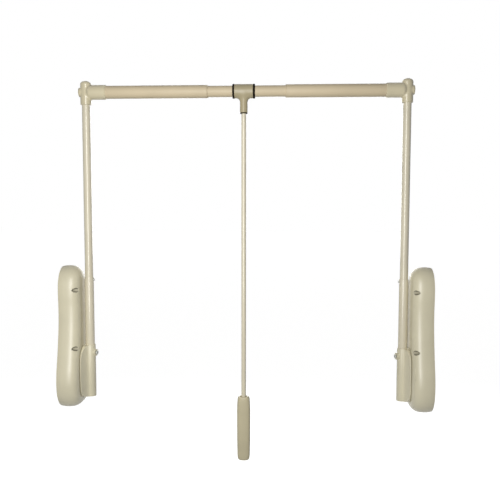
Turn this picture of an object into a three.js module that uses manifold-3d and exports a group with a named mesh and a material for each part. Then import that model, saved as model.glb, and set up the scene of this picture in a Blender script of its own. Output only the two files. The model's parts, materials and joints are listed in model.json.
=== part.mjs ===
// Pull down closet rod: two wall housings, two spring-assisted arms, and a telescopic
// hanging bar between them that is pulled down by a rod with a grip.
//
// Millimetres. X runs from the left wall to the right wall, Y away from the user, Z up.
// The origin is on the pivot axis, midway between the walls, and the arms stand upright.
// The pieces of a side are drawn in that side's own frame: x counts from the wall inwards,
// and y and z from the pivot axis. The right side is the mirror image of the left one.

import * as THREE from 'three';
import { mergeVertices } from 'three/addons/utils/BufferGeometryUtils.js';
import Module from 'manifold-3d';

const wasm = await Module();
wasm.setup();

// Whole arrangement
const wallGap = 940;
const armFromWall = 67.5;
const barHeight = 734;
const seatGap = 0.3; // left between pieces that touch
const runGap = 0.35; // round a shaft that turns or slides, radially
const overrun = 3; // how far a cut runs past a face

// Housing cover
const coverTop = 295; // above the pivot axis
const coverBottom = 72; // below the pivot axis
const coverHalfDepth = 69; // at the bulge round the pivot
const coverThickness = 52; // from the wall to the crown
const coverFlank = 15; // from the wall to where the cover is widest
const coverEdgeDraw = 2; // how far its edge at the wall is drawn in
const coverRounding = 18; // how far the crown's edge is drawn in
const coverWall = 2.5;
const coverHoleRadius = 12;
const headShare = 0.62; // half depth of the cover's head, of the bulge's
// Half of the outline from its lowest to its highest point: share of the half depth, share
// of the height. The heights below zero are shares of coverBottom, the others of coverTop.
const coverOutlineShares = [
  [0, -1], [0.38, -0.96], [0.69, -0.8], [0.91, -0.5], [1, -0.1], [0.97, 0.09], [0.855, 0.21],
  [0.73, 0.357], [0.64, 0.51], [0.62, 0.646], [0.647, 0.765], [0.625, 0.857], [0.485, 0.935],
  [0.257, 0.983], [0, 1],
];

// Screw pockets of the cover
const pocketRadius = 6;
const pocketWall = 1.6;
const pocketEdge = 8.5; // from the outline to the pocket's axis
const pocketFloor = 12; // from the wall
const pocketFloorThickness = 2.2;
const pocketHeightLow = 86.5;
const pocketHeightHigh = 235;

// Cover screws
const coverScrewRadius = 1.9;
const coverScrewHeadRadius = 4.2;
const coverScrewHeadHeight = 2.4;

// Base plate and the bridge that stands on it
const plateThickness = 2.5;
const wallScrewRadius = 2.75;
const wallScrewHigh = 266;
const wallScrewLow = 50;
const coverPostRadius = 3.3;
const bridgePostRadius = 4;
const bridgePostTipRadius = 2.4;
const bridgeThickness = 3;
const bridgeTipRise = 1.4; // of the riveted tip above the bridge
const bridgeHubRadius = 21;
const bridgeLugRadius = 8;
// Bridge posts: distance from the pivot axis, and angle from +Y towards +Z in degrees.
const bridgePostReach = 50;
const bridgePostAngles = [-86, 150, 205];

// Pivot: axle, bushes, crank
const axleRadius = 8;
const axleFlat = 6.4; // from the axis to the flats that drive the crank and the shoe
const axleEnd = 72; // from the wall
const bushWall = 2.8;
const bushFlangeRadius = 14.6;
const bushFlangeThickness = 2.2;
const bushCollarHeight = 4.6;
const crankGap = 3; // from the strut's yoke to the crank
const crankThickness = 6;
const crankRadius = 30; // from the pivot axis to the crank pin
const crankHubRadius = 13;
const crankEndRadius = 8;
const crankSwing = 110; // degrees, half of it on either side of the level
const crankPinRadius = 4;
const crankPinHeadRadius = 5.4;
const crankPinHeadHeight = 1.8;

// Gas strut and its slotted yoke
const strutFromWall = 16;
const strutOffset = 17; // behind the pivot axis
const strutRadius = 10;
const strutBoreRadius = 8;
const strutBottom = 46;
const strutEndWall = 7;
const strutRodRadius = 4;
const strutRodReach = 56; // inside the cylinder at rest
const strutPistonHeight = 9;
const strutNeckRadius = 4.2;
const strutNeckLength = 20; // from the cylinder's top to the eye's centre
const strutEyeHeight = 230;
const strutEyeRadius = 8;
const strutEyeThickness = 8;
const yokeThickness = 10;
const yokeWall = 3.6;
const yokePlay = 1.9; // above and below the crank pin in the slot
const yokeEndPlay = 0.5;
const strutPinRadius = 4;
const strutPinHeadRadius = 6;
const strutPinHeadHeight = 2;
const strutPinBossRadius = 7.5;
const saddleThickness = 2;
const saddleHeight = 12;
const saddleLevel = 92;
const saddleFoot = 11;
const saddleStudRadius = 1.8;

// Arm shoe
const shoeGap = 1.2; // from the cover's crown to the shoe
const shoeSleeveWall = 1.6;
const shoeTop = 88;
const shoeBottom = 47;
const shoeHalfDepth = 41;
const shoePlateEdge = 4.5; // thickness of the plate at its front and rear edge
const shoeSocketFloor = 19; // above the pivot axis
const shoeSpigotRadius = 11;
// Side outline of the shoe from its lowest point to its top: share of the half depth, share
// of the height. The heights below zero are shares of shoeBottom, the others of shoeTop.
const shoeOutlineShares = [
  [0, -1], [0.55, -0.94], [0.86, -0.68], [1, -0.2], [1, 0.35], [0.9, 0.76], [0.62, 0.92],
];
const clampLevel = 68;
const clampAngle = 15; // degrees, from inwards towards the user
const clampBossRadius = 8.5;
const clampBossReach = 18; // from the arm's centre line
const clampScrewRadius = 2.2;
const clampScrewHeadRadius = 5.6;
const clampScrewHeadHeight = 2.8;
const axleScrewRadius = 2.2;
const axleScrewHeadRadius = 5;
const axleScrewHeadHeight = 3;
const axleScrewDepth = 13; // into the axle
const axleScrewTipRoom = 3; // of the hole, beyond the screw

// Arm tubes
const armRadius = 10.25; // upper tube
const armWall = 1.25;
const armSleeveWall = 1; // wall of the lower tube, which the upper one plugs into
const armSleeveTop = 264;
const armPlugDepth = 84;
const armPinLevel = 258;
const armPinRadius = 3;
const armPinProud = 3.6;
const armPinHeadRadius = 4.2;
const armPinHeadHeight = 1.8;

// Corner fitting
const cornerRadius = 13.7;
const cornerAbove = 28.5; // above the bar's axis
const cornerBelow = 31;
const cornerDomeHeight = 9;
const cornerRoof = 3; // material under the dome, above the arm tube
const cornerChamfer = 1.5;
const socketRadius = 18.2;
const socketLength = 53.5; // from the arm's centre line
const socketShoulder = 4; // where the socket grows out of the fitting
const socketShoulderLength = 9;
const hubRadius = 11.6;
const hubProud = 1.2; // beyond the upright sleeve
const hubRecessRadius = 8;
const cornerScrewRadius = 2.2;
const cornerScrewHeadRadius = 4.6;
const cornerScrewHeadHeight = 2.2;
const cornerScrewSeat = 1.7; // wall left under the screw's head
const capHeight = 2.4;
const capSkirt = 1.7;
const capSkirtDepth = 1.8;

// Hanging bar
const barRadius = 16; // outer tubes
const barWall = 0.9;
const bareLength = 194; // of the middle tube between the outer ones
const bareShift = 5; // its middle, to the right of the part's
const barPlugLength = 18;
const middleRadius = 13.9;
const middleWall = 1.2;
const middleLength = 464;
const linerWall = 0.6;
const linerLength = 22;
const linerLip = 2;

// Tee, pull rod and grip
const teeShift = -2.2; // from the part's middle
const teeRadius = 17.5;
const teeLength = 46.4;
const teeChamfer = 0.8;
const stopRingRadius = 18;
const stopRingLength = 4.6;
const stopRingRounding = 1.6;
const stemRadius = 9.6;
const stemLength = 53; // below the bar's axis
const stemFlareRadius = 16.5;
const stemFlareLevel = 15; // below the bar's axis
const stemFlareLength = 20;
const stemCrownLevel = 6; // below the bar's axis
const stemBushRadius = 8.2;
const stemBushLength = 7; // of its sleeve inside the stem
const stemFlangeRadius = 9.2;
const stemFlangeHeight = 2;
const pullRodRadius = 6;
const pullRodGap = 3; // from the middle tube down to the rod
const rodScrewRadius = 2;
const rodScrewRise = 13; // above the stem's lower end
const rodScrewDepth = 3;
const gripTop = -43.5;
const gripLength = 168;
const gripHalfWidth = 17.2;
const gripHalfDepth = 11.5;
const gripSocketDepth = 34;
const gripRecessRadius = 9.5;
const gripRecessDepth = 7;
const gripRoundness = 2.7; // exponent of the section: 2 is an ellipse
// Sections of the grip from its top down: share of the length, share of the widths.
const gripShares = [
  [0, 0.72], [0.012, 0.85], [0.035, 0.91], [0.1, 0.96], [0.22, 1], [0.45, 0.995], [0.7, 0.98],
  [0.92, 0.94], [0.97, 0.89], [0.99, 0.8], [1, 0.65],
];

// Fineness of the facets
const outlineSteps = 34;
const roundingSteps = 4;
const domeSteps = 3;
const headSteps = 2;
const curveSteps = 4;
const splineSteps = 2;
const fineSteps = 16;
const roundSteps = 12;
const pocketSteps = 10;
const smallSteps = 8;
const postSteps = 6;
const gripSteps = 16;
const mergeTolerance = 1e-4;

// Places that follow from the sizes above
const armFromMiddle = wallGap / 2 - armFromWall;
const crankFrom = strutFromWall + yokeThickness / 2 + crankGap;
const crankTo = crankFrom + crankThickness;
const bridgeFrom = crankTo + crankPinHeadHeight + bushFlangeThickness;
const bridgeTo = bridgeFrom + bridgeThickness;
const strutTop = strutEyeHeight - strutNeckLength;
const bushRadius = axleRadius + runGap + bushWall;
const upperBushTop = bridgeTo + bushCollarHeight;
const shoeBack = coverThickness + shoeGap;
const armSleeveBore = armRadius + seatGap;
const armSleeveRadius = armSleeveBore + armSleeveWall;
const shoeSleeveBore = armSleeveRadius + seatGap;
const shoeSleeveRadius = shoeSleeveBore + shoeSleeveWall;
const crankStart = THREE.MathUtils.degToRad(-crankSwing / 2);
const crankPinY = crankRadius * Math.cos(crankStart);
const crankPinZ = crankRadius * Math.sin(crankStart);
const barBore = barRadius - barWall;
const armTop = barHeight + cornerAbove - cornerDomeHeight - cornerRoof - seatGap;
const socketFloor = armRadius + seatGap + cornerScrewSeat;
const hubFace = cornerRadius + hubProud;
const barTubeFrom = socketFloor + seatGap;
const spineTop = coverTop - coverHalfDepth * headShare;

const plastic = material(0xc9c3a8, 0.42, 0);
const fittingPlastic = material(0xb9ae90, 0.42, 0);
const steelTube = material(0xd3c4a3, 0.34, 0.25);
const armSteel = material(0xd4ccb4, 0.3, 0.2);
const innerSteel = material(0xa3a39d, 0.38, 0.85);
const bearingPlastic = material(0xe6e1d3, 0.5, 0);
const blackRubber = material(0x1d170b, 0.7, 0);
const blackSteel = material(0x34332f, 0.45, 0.6);

function material(color, roughness, metalness) {
  return new THREE.MeshStandardMaterial({ color, roughness, metalness });
}

// Turns a shape drawn round the local z axis so that this axis lies along x, y or z.
const unitX = new THREE.Vector3(1, 0, 0);
const unitY = new THREE.Vector3(0, 1, 0);
const unitZ = new THREE.Vector3(0, 0, 1);
const turnTo = {
  x: new THREE.Matrix4().makeBasis(unitY, unitZ, unitX),
  y: new THREE.Matrix4().makeBasis(unitZ, unitX, unitY),
  z: new THREE.Matrix4(),
};

function vec(x, y, z) {
  return new THREE.Vector3(x, y, z);
}

// Makes a solid of a closed geometry, with its faces pointing out.
function solidOf(geometry) {
  const bare = new THREE.BufferGeometry();
  bare.setAttribute('position', geometry.getAttribute('position'));
  bare.setIndex(geometry.getIndex());
  const merged = mergeVertices(bare, mergeTolerance);
  const points = merged.getAttribute('position');
  const index = merged.getIndex().array;
  const corners = [vec(0, 0, 0), vec(0, 0, 0), vec(0, 0, 0)];
  const faces = [];
  let volume = 0;
  for (let i = 0; i < index.length; i += 3) {
    const face = [index[i], index[i + 1], index[i + 2]];
    if (new Set(face).size < 3) {
      continue;
    }
    corners.forEach((corner, k) => corner.fromBufferAttribute(points, face[k]));
    volume += corners[0].dot(corners[1].clone().cross(corners[2]));
    faces.push(face);
  }
  const triVerts = new Uint32Array(faces.flatMap((face) => (volume < 0 ? face.toReversed() : face)));
  return new wasm.Manifold(new wasm.Mesh({ numProp: 3, vertProperties: points.array, triVerts }));
}

// Gives a solid's faces as a geometry, mirrored left to right where asked.
function geometryOf(solid, mirrored) {
  const mesh = solid.getMesh();
  const geometry = new THREE.BufferGeometry();
  geometry.setAttribute('position', new THREE.BufferAttribute(mesh.vertProperties.slice(), 3));
  const faces = mirrored ? mesh.triVerts.toReversed() : mesh.triVerts.slice();
  geometry.setIndex(new THREE.BufferAttribute(faces, 1));
  if (mirrored) {
    geometry.scale(-1, 1, 1);
  }
  const flat = geometry.toNonIndexed();
  flat.computeVertexNormals();
  return flat;
}

function join(...solids) {
  return solids.reduce((whole, solid) => whole.add(solid));
}

function cut(solid, ...tools) {
  return tools.reduce((rest, tool) => rest.subtract(tool), solid);
}

// A body of revolution about an axis through `at`. The profile lists radius and place along it.
function turned(axis, at, profile, steps) {
  const points = profile.map(([radius, along]) => new THREE.Vector2(radius, along));
  const geometry = new THREE.LatheGeometry(points, steps);
  geometry.rotateX(Math.PI / 2).applyMatrix4(turnTo[axis]).translate(at.x, at.y, at.z);
  return solidOf(geometry);
}

function round(axis, at, radius, from, to, steps = roundSteps) {
  return turned(axis, at, [[0, from], [radius, from], [radius, to], [0, to]], steps);
}

function pipe(axis, at, outer, inner, from, to, steps = roundSteps) {
  const profile = [[inner, from], [outer, from], [outer, to], [inner, to], [inner, from]];
  return turned(axis, at, profile, steps);
}

// The hole for a screw's shank.
function screwWay(axis, at, shankRadius, from, to) {
  return round(axis, at, shankRadius + seatGap, from, to, smallSteps);
}

// A flat shape carried along an axis from one place to another.
function slab(axis, shape, from, to, steps = curveSteps) {
  const geometry = new THREE.ExtrudeGeometry(shape, {
    depth: to - from,
    bevelEnabled: false,
    curveSegments: steps,
  });
  geometry.translate(0, 0, from).applyMatrix4(turnTo[axis]);
  return solidOf(geometry);
}

function block(low, high) {
  const size = high.clone().sub(low);
  const geometry = new THREE.BoxGeometry(size.x, size.y, size.z);
  const middle = low.clone().add(high).divideScalar(2);
  return solidOf(geometry.translate(middle.x, middle.y, middle.z));
}

// A closed body through rings of equal length, with a flat end on the first and the last.
function loft(rings) {
  const count = rings[0].length;
  const points = rings.flat();
  const faces = [];
  for (let r = 0; r + 1 < rings.length; r += 1) {
    for (let i = 0; i < count; i += 1) {
      const next = (i + 1) % count;
      const low = r * count;
      const high = low + count;
      faces.push(low + i, low + next, high + next, low + i, high + next, high + i);
    }
  }
  [0, rings.length - 1].forEach((r, end) => {
    const centre = rings[r].reduce((sum, point) => sum.add(point), vec(0, 0, 0));
    const hub = points.push(centre.divideScalar(count)) - 1;
    for (let i = 0; i < count; i += 1) {
      const edge = [r * count + i, r * count + ((i + 1) % count)];
      faces.push(hub, ...(end ? edge : edge.toReversed()));
    }
  });
  const geometry = new THREE.BufferGeometry().setFromPoints(points);
  geometry.setIndex(faces);
  return solidOf(geometry);
}

// Points along a quarter of a rounding, from its start at 0 to its end at 1: how far along
// it has gone, and how far it has drawn in.
function quarter(steps) {
  const points = [];
  for (let k = 0; k <= steps; k += 1) {
    const angle = (Math.PI / 2) * (k / steps);
    points.push([Math.sin(angle), 1 - Math.cos(angle)]);
  }
  return points;
}

// The housing's closed outline as seen from the side, in (y, z).
function makeOutline() {
  const rear = coverOutlineShares.map(([depth, height]) => {
    const reach = height < 0 ? coverBottom : coverTop;
    return vec(depth * coverHalfDepth, height * reach, 0);
  });
  const front = rear.slice(1, -1).reverse().map((point) => vec(-point.x, point.y, 0));
  const curve = new THREE.CatmullRomCurve3([...rear, ...front], true, 'centripetal');
  const points = curve.getPoints(outlineSteps).slice(0, -1);
  return points.map((point) => new THREE.Vector2(point.x, point.y));
}

const coverOutline = makeOutline();

// The outline moved inwards, towards the line down the housing's middle.
function drawnIn(distance) {
  return coverOutline.map((point) => {
    const level = THREE.MathUtils.clamp(point.y, 0, spineTop);
    const inwards = new THREE.Vector2(-point.x, level - point.y).normalize();
    return point.clone().addScaledVector(inwards, distance);
  });
}

// The outline's half depth at a height.
function outlineHalfDepth(height) {
  const rear = coverOutline.filter((point) => point.x > 0).sort((a, b) => a.y - b.y);
  const above = rear.findIndex((point) => point.y >= height);
  const [low, high] = [rear[above - 1], rear[above]];
  return THREE.MathUtils.mapLinear(height, low.y, high.y, low.x, high.x);
}

function coverRing(x, distance) {
  return drawnIn(distance).map((point) => vec(x, point.x, point.y));
}

// How far the cover's flank is drawn in at a distance from the wall.
function flankDraw(from) {
  return coverEdgeDraw * (1 - from / coverFlank) ** 2;
}

// The cover's body, grown smaller by `inset` all round. It is widest where its flank ends and
// its rounded crown starts.
function coverBody(from, inset, steps) {
  const rise = coverThickness - inset - coverFlank;
  const crown = quarter(steps).map(([along, drawn]) => (
    coverRing(coverFlank + rise * along, inset + coverRounding * drawn)));
  return loft([coverRing(from, inset + flankDraw(from)), ...crown]);
}

function pocketPlaces() {
  return [pocketHeightLow, pocketHeightHigh].flatMap((height) => {
    const depth = outlineHalfDepth(height) - pocketEdge;
    return [vec(0, -depth, height), vec(0, depth, height)];
  });
}

function makeCover() {
  const outside = coverBody(0, 0, roundingSteps);
  let cover = cut(outside, coverBody(-overrun, coverWall, headSteps));
  const underside = pocketFloor - pocketFloorThickness;
  for (const place of pocketPlaces()) {
    const boss = round('x', place, pocketRadius + pocketWall, underside, coverThickness, smallSteps);
    cover = join(cover, boss.intersect(outside));
    cover = cut(
      cover,
      round('x', place, pocketRadius, pocketFloor, coverThickness + overrun, pocketSteps),
      screwWay('x', place, coverScrewRadius, underside - overrun, pocketFloor + overrun),
    );
  }
  return cut(cover, round('x', vec(0, 0, 0), coverHoleRadius, coverFlank, coverThickness + overrun));
}

function bridgePlaces() {
  return bridgePostAngles.map((degrees) => {
    const angle = THREE.MathUtils.degToRad(degrees);
    return vec(0, bridgePostReach * Math.cos(angle), bridgePostReach * Math.sin(angle));
  });
}

function strutPinPlace() {
  return vec(0, strutOffset, strutEyeHeight);
}

function saddleStudPlaces() {
  const reach = strutRadius + seatGap + saddleThickness + saddleFoot / 2;
  return [-reach, reach].map((side) => vec(0, strutOffset + side, saddleLevel));
}

function makeBasePlate() {
  const inset = coverWall + flankDraw(-overrun) + seatGap;
  let plate = slab('x', new THREE.Shape(drawnIn(inset)), 0, plateThickness);
  const postTop = pocketFloor - pocketFloorThickness - seatGap;
  for (const place of pocketPlaces()) {
    plate = join(plate, round('x', place, coverPostRadius, 0, postTop, smallSteps));
    plate = cut(plate, screwWay('x', place, coverScrewRadius, -overrun, postTop + overrun));
  }
  for (const place of bridgePlaces()) {
    const tipTop = bridgeTo + bridgeTipRise;
    const post = round('x', place, bridgePostRadius, 0, bridgeFrom - seatGap, postSteps);
    const tip = round('x', place, bridgePostTipRadius, 0, tipTop, postSteps);
    plate = join(plate, post, tip);
  }
  const studTop = plateThickness + saddleThickness * 2;
  for (const place of saddleStudPlaces()) {
    plate = join(plate, round('x', place, saddleStudRadius, 0, studTop, postSteps));
  }
  const bossTop = strutFromWall - strutEyeThickness / 2 - seatGap;
  plate = join(plate, round('x', strutPinPlace(), strutPinBossRadius, 0, bossTop));
  const wallHoles = [wallScrewHigh, -wallScrewLow].map((level) => (
    round('x', vec(0, 0, level), wallScrewRadius, -overrun, plateThickness + overrun, smallSteps)));
  return cut(
    plate,
    ...wallHoles,
    round('x', strutPinPlace(), strutPinRadius + seatGap, -overrun, bossTop + overrun),
    round('x', vec(0, 0, 0), bushRadius + seatGap, -overrun, plateThickness + overrun),
  );
}

// A disc about the pivot with a lug to each post.
function makeBridge() {
  let bridge = round('x', vec(0, 0, 0), bridgeHubRadius, bridgeFrom, bridgeTo);
  for (const place of bridgePlaces()) {
    const arm = new THREE.Shape();
    const across = vec(0, -place.z, place.y).setLength(bridgeLugRadius);
    arm.moveTo(across.y, across.z);
    arm.lineTo(place.y + across.y, place.z + across.z);
    arm.lineTo(place.y - across.y, place.z - across.z);
    arm.lineTo(-across.y, -across.z);
    bridge = join(
      bridge,
      slab('x', arm, bridgeFrom, bridgeTo),
      round('x', place, bridgeLugRadius, bridgeFrom, bridgeTo, smallSteps),
    );
  }
  const tipHoles = bridgePlaces().map((place) => (
    round('x', place, bridgePostTipRadius + seatGap, bridgeFrom - overrun, bridgeTo + overrun, postSteps)));
  const bushHole = round(
    'x', vec(0, 0, 0), bushRadius + seatGap, bridgeFrom - overrun, bridgeTo + overrun);
  return cut(bridge, bushHole, ...tipHoles);
}

// A flanged bush: sleeve in the plate, flange on its face, short collar beyond.
function makeBush(from, flangeFrom, to) {
  const bore = axleRadius + runGap;
  const flangeTo = flangeFrom + bushFlangeThickness;
  return turned('x', vec(0, 0, 0), [
    [bore, from], [bushRadius, from], [bushRadius, flangeFrom], [bushFlangeRadius, flangeFrom],
    [bushFlangeRadius, flangeTo], [bushRadius, flangeTo], [bushRadius, to], [bore, to], [bore, from],
  ], roundSteps);
}

function makeLowerBush() {
  const flangeFrom = plateThickness + seatGap;
  return makeBush(seatGap, flangeFrom, flangeFrom + bushFlangeThickness + bushCollarHeight);
}

function makeUpperBush() {
  const flangeFrom = bridgeFrom - seatGap - bushFlangeThickness;
  return makeBush(flangeFrom - seatGap, flangeFrom, upperBushTop);
}

// What a flat takes off a round bar: everything in front of it.
function flatCut(flat, from, to) {
  const reach = axleRadius + overrun;
  return block(vec(from, -reach, -reach), vec(to, -flat, reach));
}

function keyedBar(radius, flat, from, to) {
  return cut(round('x', vec(0, 0, 0), radius, from, to), flatCut(flat, from - overrun, to + overrun));
}

function makeAxle() {
  const screwHoleEnd = axleEnd - axleScrewDepth - axleScrewTipRoom;
  return cut(
    round('x', vec(0, 0, 0), axleRadius, seatGap * 2, axleEnd),
    flatCut(axleFlat, crankFrom - seatGap, crankTo + seatGap),
    flatCut(axleFlat, upperBushTop + seatGap, axleEnd + overrun),
    screwWay('x', vec(0, 0, 0), axleScrewRadius, screwHoleEnd, axleEnd + overrun),
  );
}

function crankPinPlace() {
  return vec(0, crankPinY, crankPinZ);
}

function makeCrank() {
  const pin = crankPinPlace();
  const across = vec(0, -pin.z, pin.y).normalize();
  const arm = new THREE.Shape();
  arm.moveTo(across.y * crankHubRadius, across.z * crankHubRadius);
  arm.lineTo(-across.y * crankHubRadius, -across.z * crankHubRadius);
  arm.lineTo(pin.y - across.y * crankEndRadius, pin.z - across.z * crankEndRadius);
  arm.lineTo(pin.y + across.y * crankEndRadius, pin.z + across.z * crankEndRadius);
  return cut(
    join(
      slab('x', arm, crankFrom, crankTo),
      round('x', vec(0, 0, 0), crankHubRadius, crankFrom, crankTo),
      round('x', pin, crankEndRadius, crankFrom, crankTo),
    ),
    keyedBar(axleRadius + seatGap, axleFlat + seatGap, crankFrom - overrun, crankTo + overrun),
    round('x', pin, crankPinRadius + seatGap, crankFrom - overrun, crankTo + overrun),
  );
}

function makeCrankPin() {
  const foot = strutFromWall - yokeThickness / 2;
  const headFrom = crankTo + seatGap;
  return turned('x', crankPinPlace(), [
    [0, foot], [crankPinRadius, foot], [crankPinRadius, headFrom], [crankPinHeadRadius, headFrom],
    [crankPinHeadRadius, headFrom + crankPinHeadHeight - seatGap],
    [0, headFrom + crankPinHeadHeight - seatGap],
  ], smallSteps);
}

// Gas strut cylinder with its eye. The bore is open round the rod.
function makeStrutCylinder() {
  const centre = vec(strutFromWall, strutOffset, 0);
  const eye = vec(0, strutOffset, strutEyeHeight);
  const eyeFrom = strutFromWall - strutEyeThickness / 2;
  const eyeTo = strutFromWall + strutEyeThickness / 2;
  return cut(
    join(
      round('z', centre, strutRadius, strutBottom, strutTop),
      round('z', centre, strutNeckRadius, strutTop - strutEndWall, strutEyeHeight),
      round('x', eye, strutEyeRadius, eyeFrom, eyeTo),
    ),
    round('z', centre, strutBoreRadius, strutBottom + strutEndWall, strutTop - strutEndWall),
    round('z', centre, strutRodRadius + runGap, strutBottom - overrun, strutBottom + strutEndWall + overrun),
    round('x', eye, strutPinRadius + seatGap, eyeFrom - overrun, eyeTo + overrun),
  );
}

// Piston rod with the yoke whose level slot holds the crank pin over its whole swing.
function makeStrutRod() {
  const centre = vec(strutFromWall, strutOffset, 0);
  const slotHalf = crankPinRadius + yokePlay;
  const slotFront = crankPinY - crankPinRadius - yokeEndPlay;
  const slotRear = crankRadius + crankPinRadius + yokeEndPlay;
  const from = strutFromWall - yokeThickness / 2;
  const to = strutFromWall + yokeThickness / 2;
  const yokeTop = crankPinZ + slotHalf + yokeWall;
  const rodTop = strutBottom + strutRodReach;
  const thinWall = yokeWall / 2;
  return join(
    cut(
      block(
        vec(from, slotFront - thinWall, crankPinZ - slotHalf - yokeWall),
        vec(to, slotRear + yokeWall, yokeTop),
      ),
      block(
        vec(from - overrun, slotFront, crankPinZ - slotHalf),
        vec(to + overrun, slotRear, crankPinZ + slotHalf),
      ),
    ),
    round('z', centre, strutRodRadius, yokeTop - yokeWall / 2, rodTop),
    round('z', centre, strutBoreRadius - runGap, rodTop - strutPistonHeight, rodTop),
  );
}

function makeStrutPin() {
  const headFrom = strutFromWall + strutEyeThickness / 2 + seatGap;
  const headTo = headFrom + strutPinHeadHeight;
  return turned('x', strutPinPlace(), [
    [0, seatGap], [strutPinRadius, seatGap], [strutPinRadius, headFrom],
    [strutPinHeadRadius, headFrom], [strutPinHeadRadius, headTo], [0, headTo],
  ], smallSteps);
}

// Strap over the strut's cylinder, with a foot on the base plate at either side.
function makeStrutSaddle() {
  const inner = strutRadius + seatGap;
  const outer = inner + saddleThickness;
  const footFrom = plateThickness + seatGap;
  const low = saddleLevel - saddleHeight / 2;
  const high = saddleLevel + saddleHeight / 2;
  const centre = vec(strutFromWall, strutOffset, 0);
  const reach = outer + saddleFoot;
  const holes = saddleStudPlaces().map((place) => (
    round('x', place, saddleStudRadius + seatGap, 0, footFrom + saddleThickness + overrun, postSteps)));
  return cut(
    join(
      round('z', centre, outer, low, high),
      block(vec(footFrom, strutOffset - outer, low), vec(strutFromWall, strutOffset + outer, high)),
      block(
        vec(footFrom, strutOffset - reach, low),
        vec(footFrom + saddleThickness, strutOffset + reach, high),
      ),
    ),
    round('z', centre, inner, low - overrun, high + overrun),
    block(
      vec(0, strutOffset - inner, low - overrun),
      vec(strutFromWall, strutOffset + inner, high + overrun),
    ),
    ...holes,
  );
}

// A screw from its tip to its domed head, whose underside is at `seat`.
function screw(axis, at, radius, tip, seat, headRadius, headHeight) {
  const dome = quarter(headSteps).map(([along, drawn]) => (
    [headRadius * (1 - drawn), seat + headHeight * (1 + along) / 2]));
  const profile = [[0, tip], [radius, tip], [radius, seat], [headRadius, seat], ...dome];
  return turned(axis, at, profile, smallSteps);
}

function makeCoverScrew(place) {
  return screw(
    'x', place, coverScrewRadius, plateThickness, pocketFloor + seatGap,
    coverScrewHeadRadius, coverScrewHeadHeight,
  );
}

// Plan of the shoe: plate along the housing, drawn in to the sleeve round the arm tube.
function shoePlan() {
  const plan = new THREE.Shape();
  const edge = shoeBack + shoePlateEdge;
  const waist = (shoeHalfDepth + shoeSleeveRadius) / 2;
  plan.moveTo(shoeBack, -shoeHalfDepth);
  plan.lineTo(edge, -shoeHalfDepth);
  plan.quadraticCurveTo(edge + shoePlateEdge, -waist, armFromWall, -shoeSleeveRadius);
  plan.absarc(armFromWall, 0, shoeSleeveRadius, -Math.PI / 2, Math.PI / 2, false);
  plan.quadraticCurveTo(edge + shoePlateEdge, waist, edge, shoeHalfDepth);
  plan.lineTo(shoeBack, shoeHalfDepth);
  return plan;
}

function shoeOutline() {
  const rear = shoeOutlineShares.map(([depth, height]) => {
    const reach = height < 0 ? shoeBottom : shoeTop;
    return new THREE.Vector2(depth * shoeHalfDepth, height * reach);
  });
  rear.push(new THREE.Vector2(shoeSleeveRadius, shoeTop));
  const front = rear.slice(1).reverse().map((point) => new THREE.Vector2(-point.x, point.y));
  const outline = new THREE.Shape();
  outline.moveTo(rear[0].x, rear[0].y);
  outline.splineThru(rear.slice(1));
  outline.lineTo(front[0].x, front[0].y);
  outline.splineThru([...front.slice(1), rear[0]]);
  return outline;
}

// A solid drawn along x from the arm's centre line, turned to where the clamp screw points.
function alongClamp(make) {
  const solid = make('x', vec(0, 0, 0));
  const geometry = geometryOf(solid, false);
  geometry.rotateZ(-THREE.MathUtils.degToRad(clampAngle));
  return solidOf(geometry.translate(armFromWall, 0, clampLevel));
}

function makeShoe() {
  const arm = vec(armFromWall, 0, 0);
  const inside = armFromWall + shoeSleeveRadius;
  const headSeat = axleEnd + axleScrewHeadHeight;
  const body = slab('z', shoePlan(), -shoeBottom - overrun, shoeTop + overrun).intersect(
    slab('x', shoeOutline(), shoeBack - overrun, inside + overrun, splineSteps));
  const boss = alongClamp((axis, at) => round(axis, at, clampBossRadius, 0, clampBossReach));
  const spigot = round('x', vec(0, 0, 0), shoeSpigotRadius, upperBushTop + seatGap, shoeBack + overrun);
  const headWay = round(
    'x', vec(0, 0, 0), axleScrewHeadRadius + seatGap, headSeat, inside + overrun);
  return cut(
    join(body, boss, spigot),
    keyedBar(axleRadius + seatGap, axleFlat + seatGap, upperBushTop - overrun, axleEnd + seatGap),
    screwWay('x', vec(0, 0, 0), axleScrewRadius, shoeBack, inside + overrun),
    headWay,
    round('z', arm, shoeSleeveBore, shoeSocketFloor, shoeTop + overrun, fineSteps),
    clampScrewWay(),
  );
}

function makeClampScrew() {
  return alongClamp((axis, at) => screw(
    axis, at, clampScrewRadius, armSleeveBore - armWall, clampBossReach + seatGap,
    clampScrewHeadRadius, clampScrewHeadHeight,
  ));
}

function makeAxleScrew() {
  const seat = axleEnd + axleScrewHeadHeight + seatGap;
  return screw(
    'x', vec(0, 0, 0), axleScrewRadius, axleEnd - axleScrewDepth, seat,
    axleScrewHeadRadius, axleScrewHeadHeight,
  );
}

function clampScrewWay() {
  return alongClamp((axis, at) => (
    screwWay(axis, at, clampScrewRadius, 0, clampBossReach + overrun)));
}

// The hole for the snap pin, through both arm tubes on their inner side.
function armPinWay() {
  const at = vec(armFromWall, 0, armPinLevel);
  return screwWay('x', at, armPinRadius, 0, armSleeveRadius + overrun);
}

function makeArmLowerTube() {
  const arm = vec(armFromWall, 0, 0);
  return cut(
    pipe('z', arm, armSleeveRadius, armSleeveBore, shoeSocketFloor + seatGap, armSleeveTop, fineSteps),
    armPinWay(),
    clampScrewWay(),
  );
}

function makeArmUpperTube() {
  const arm = vec(armFromWall, 0, 0);
  const screwReach = armRadius + overrun;
  return cut(
    pipe('z', arm, armRadius, armRadius - armWall, armSleeveTop - armPlugDepth, armTop, fineSteps),
    armPinWay(),
    screwWay('x', vec(armFromWall, 0, barHeight), cornerScrewRadius, -screwReach, screwReach),
  );
}

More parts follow.
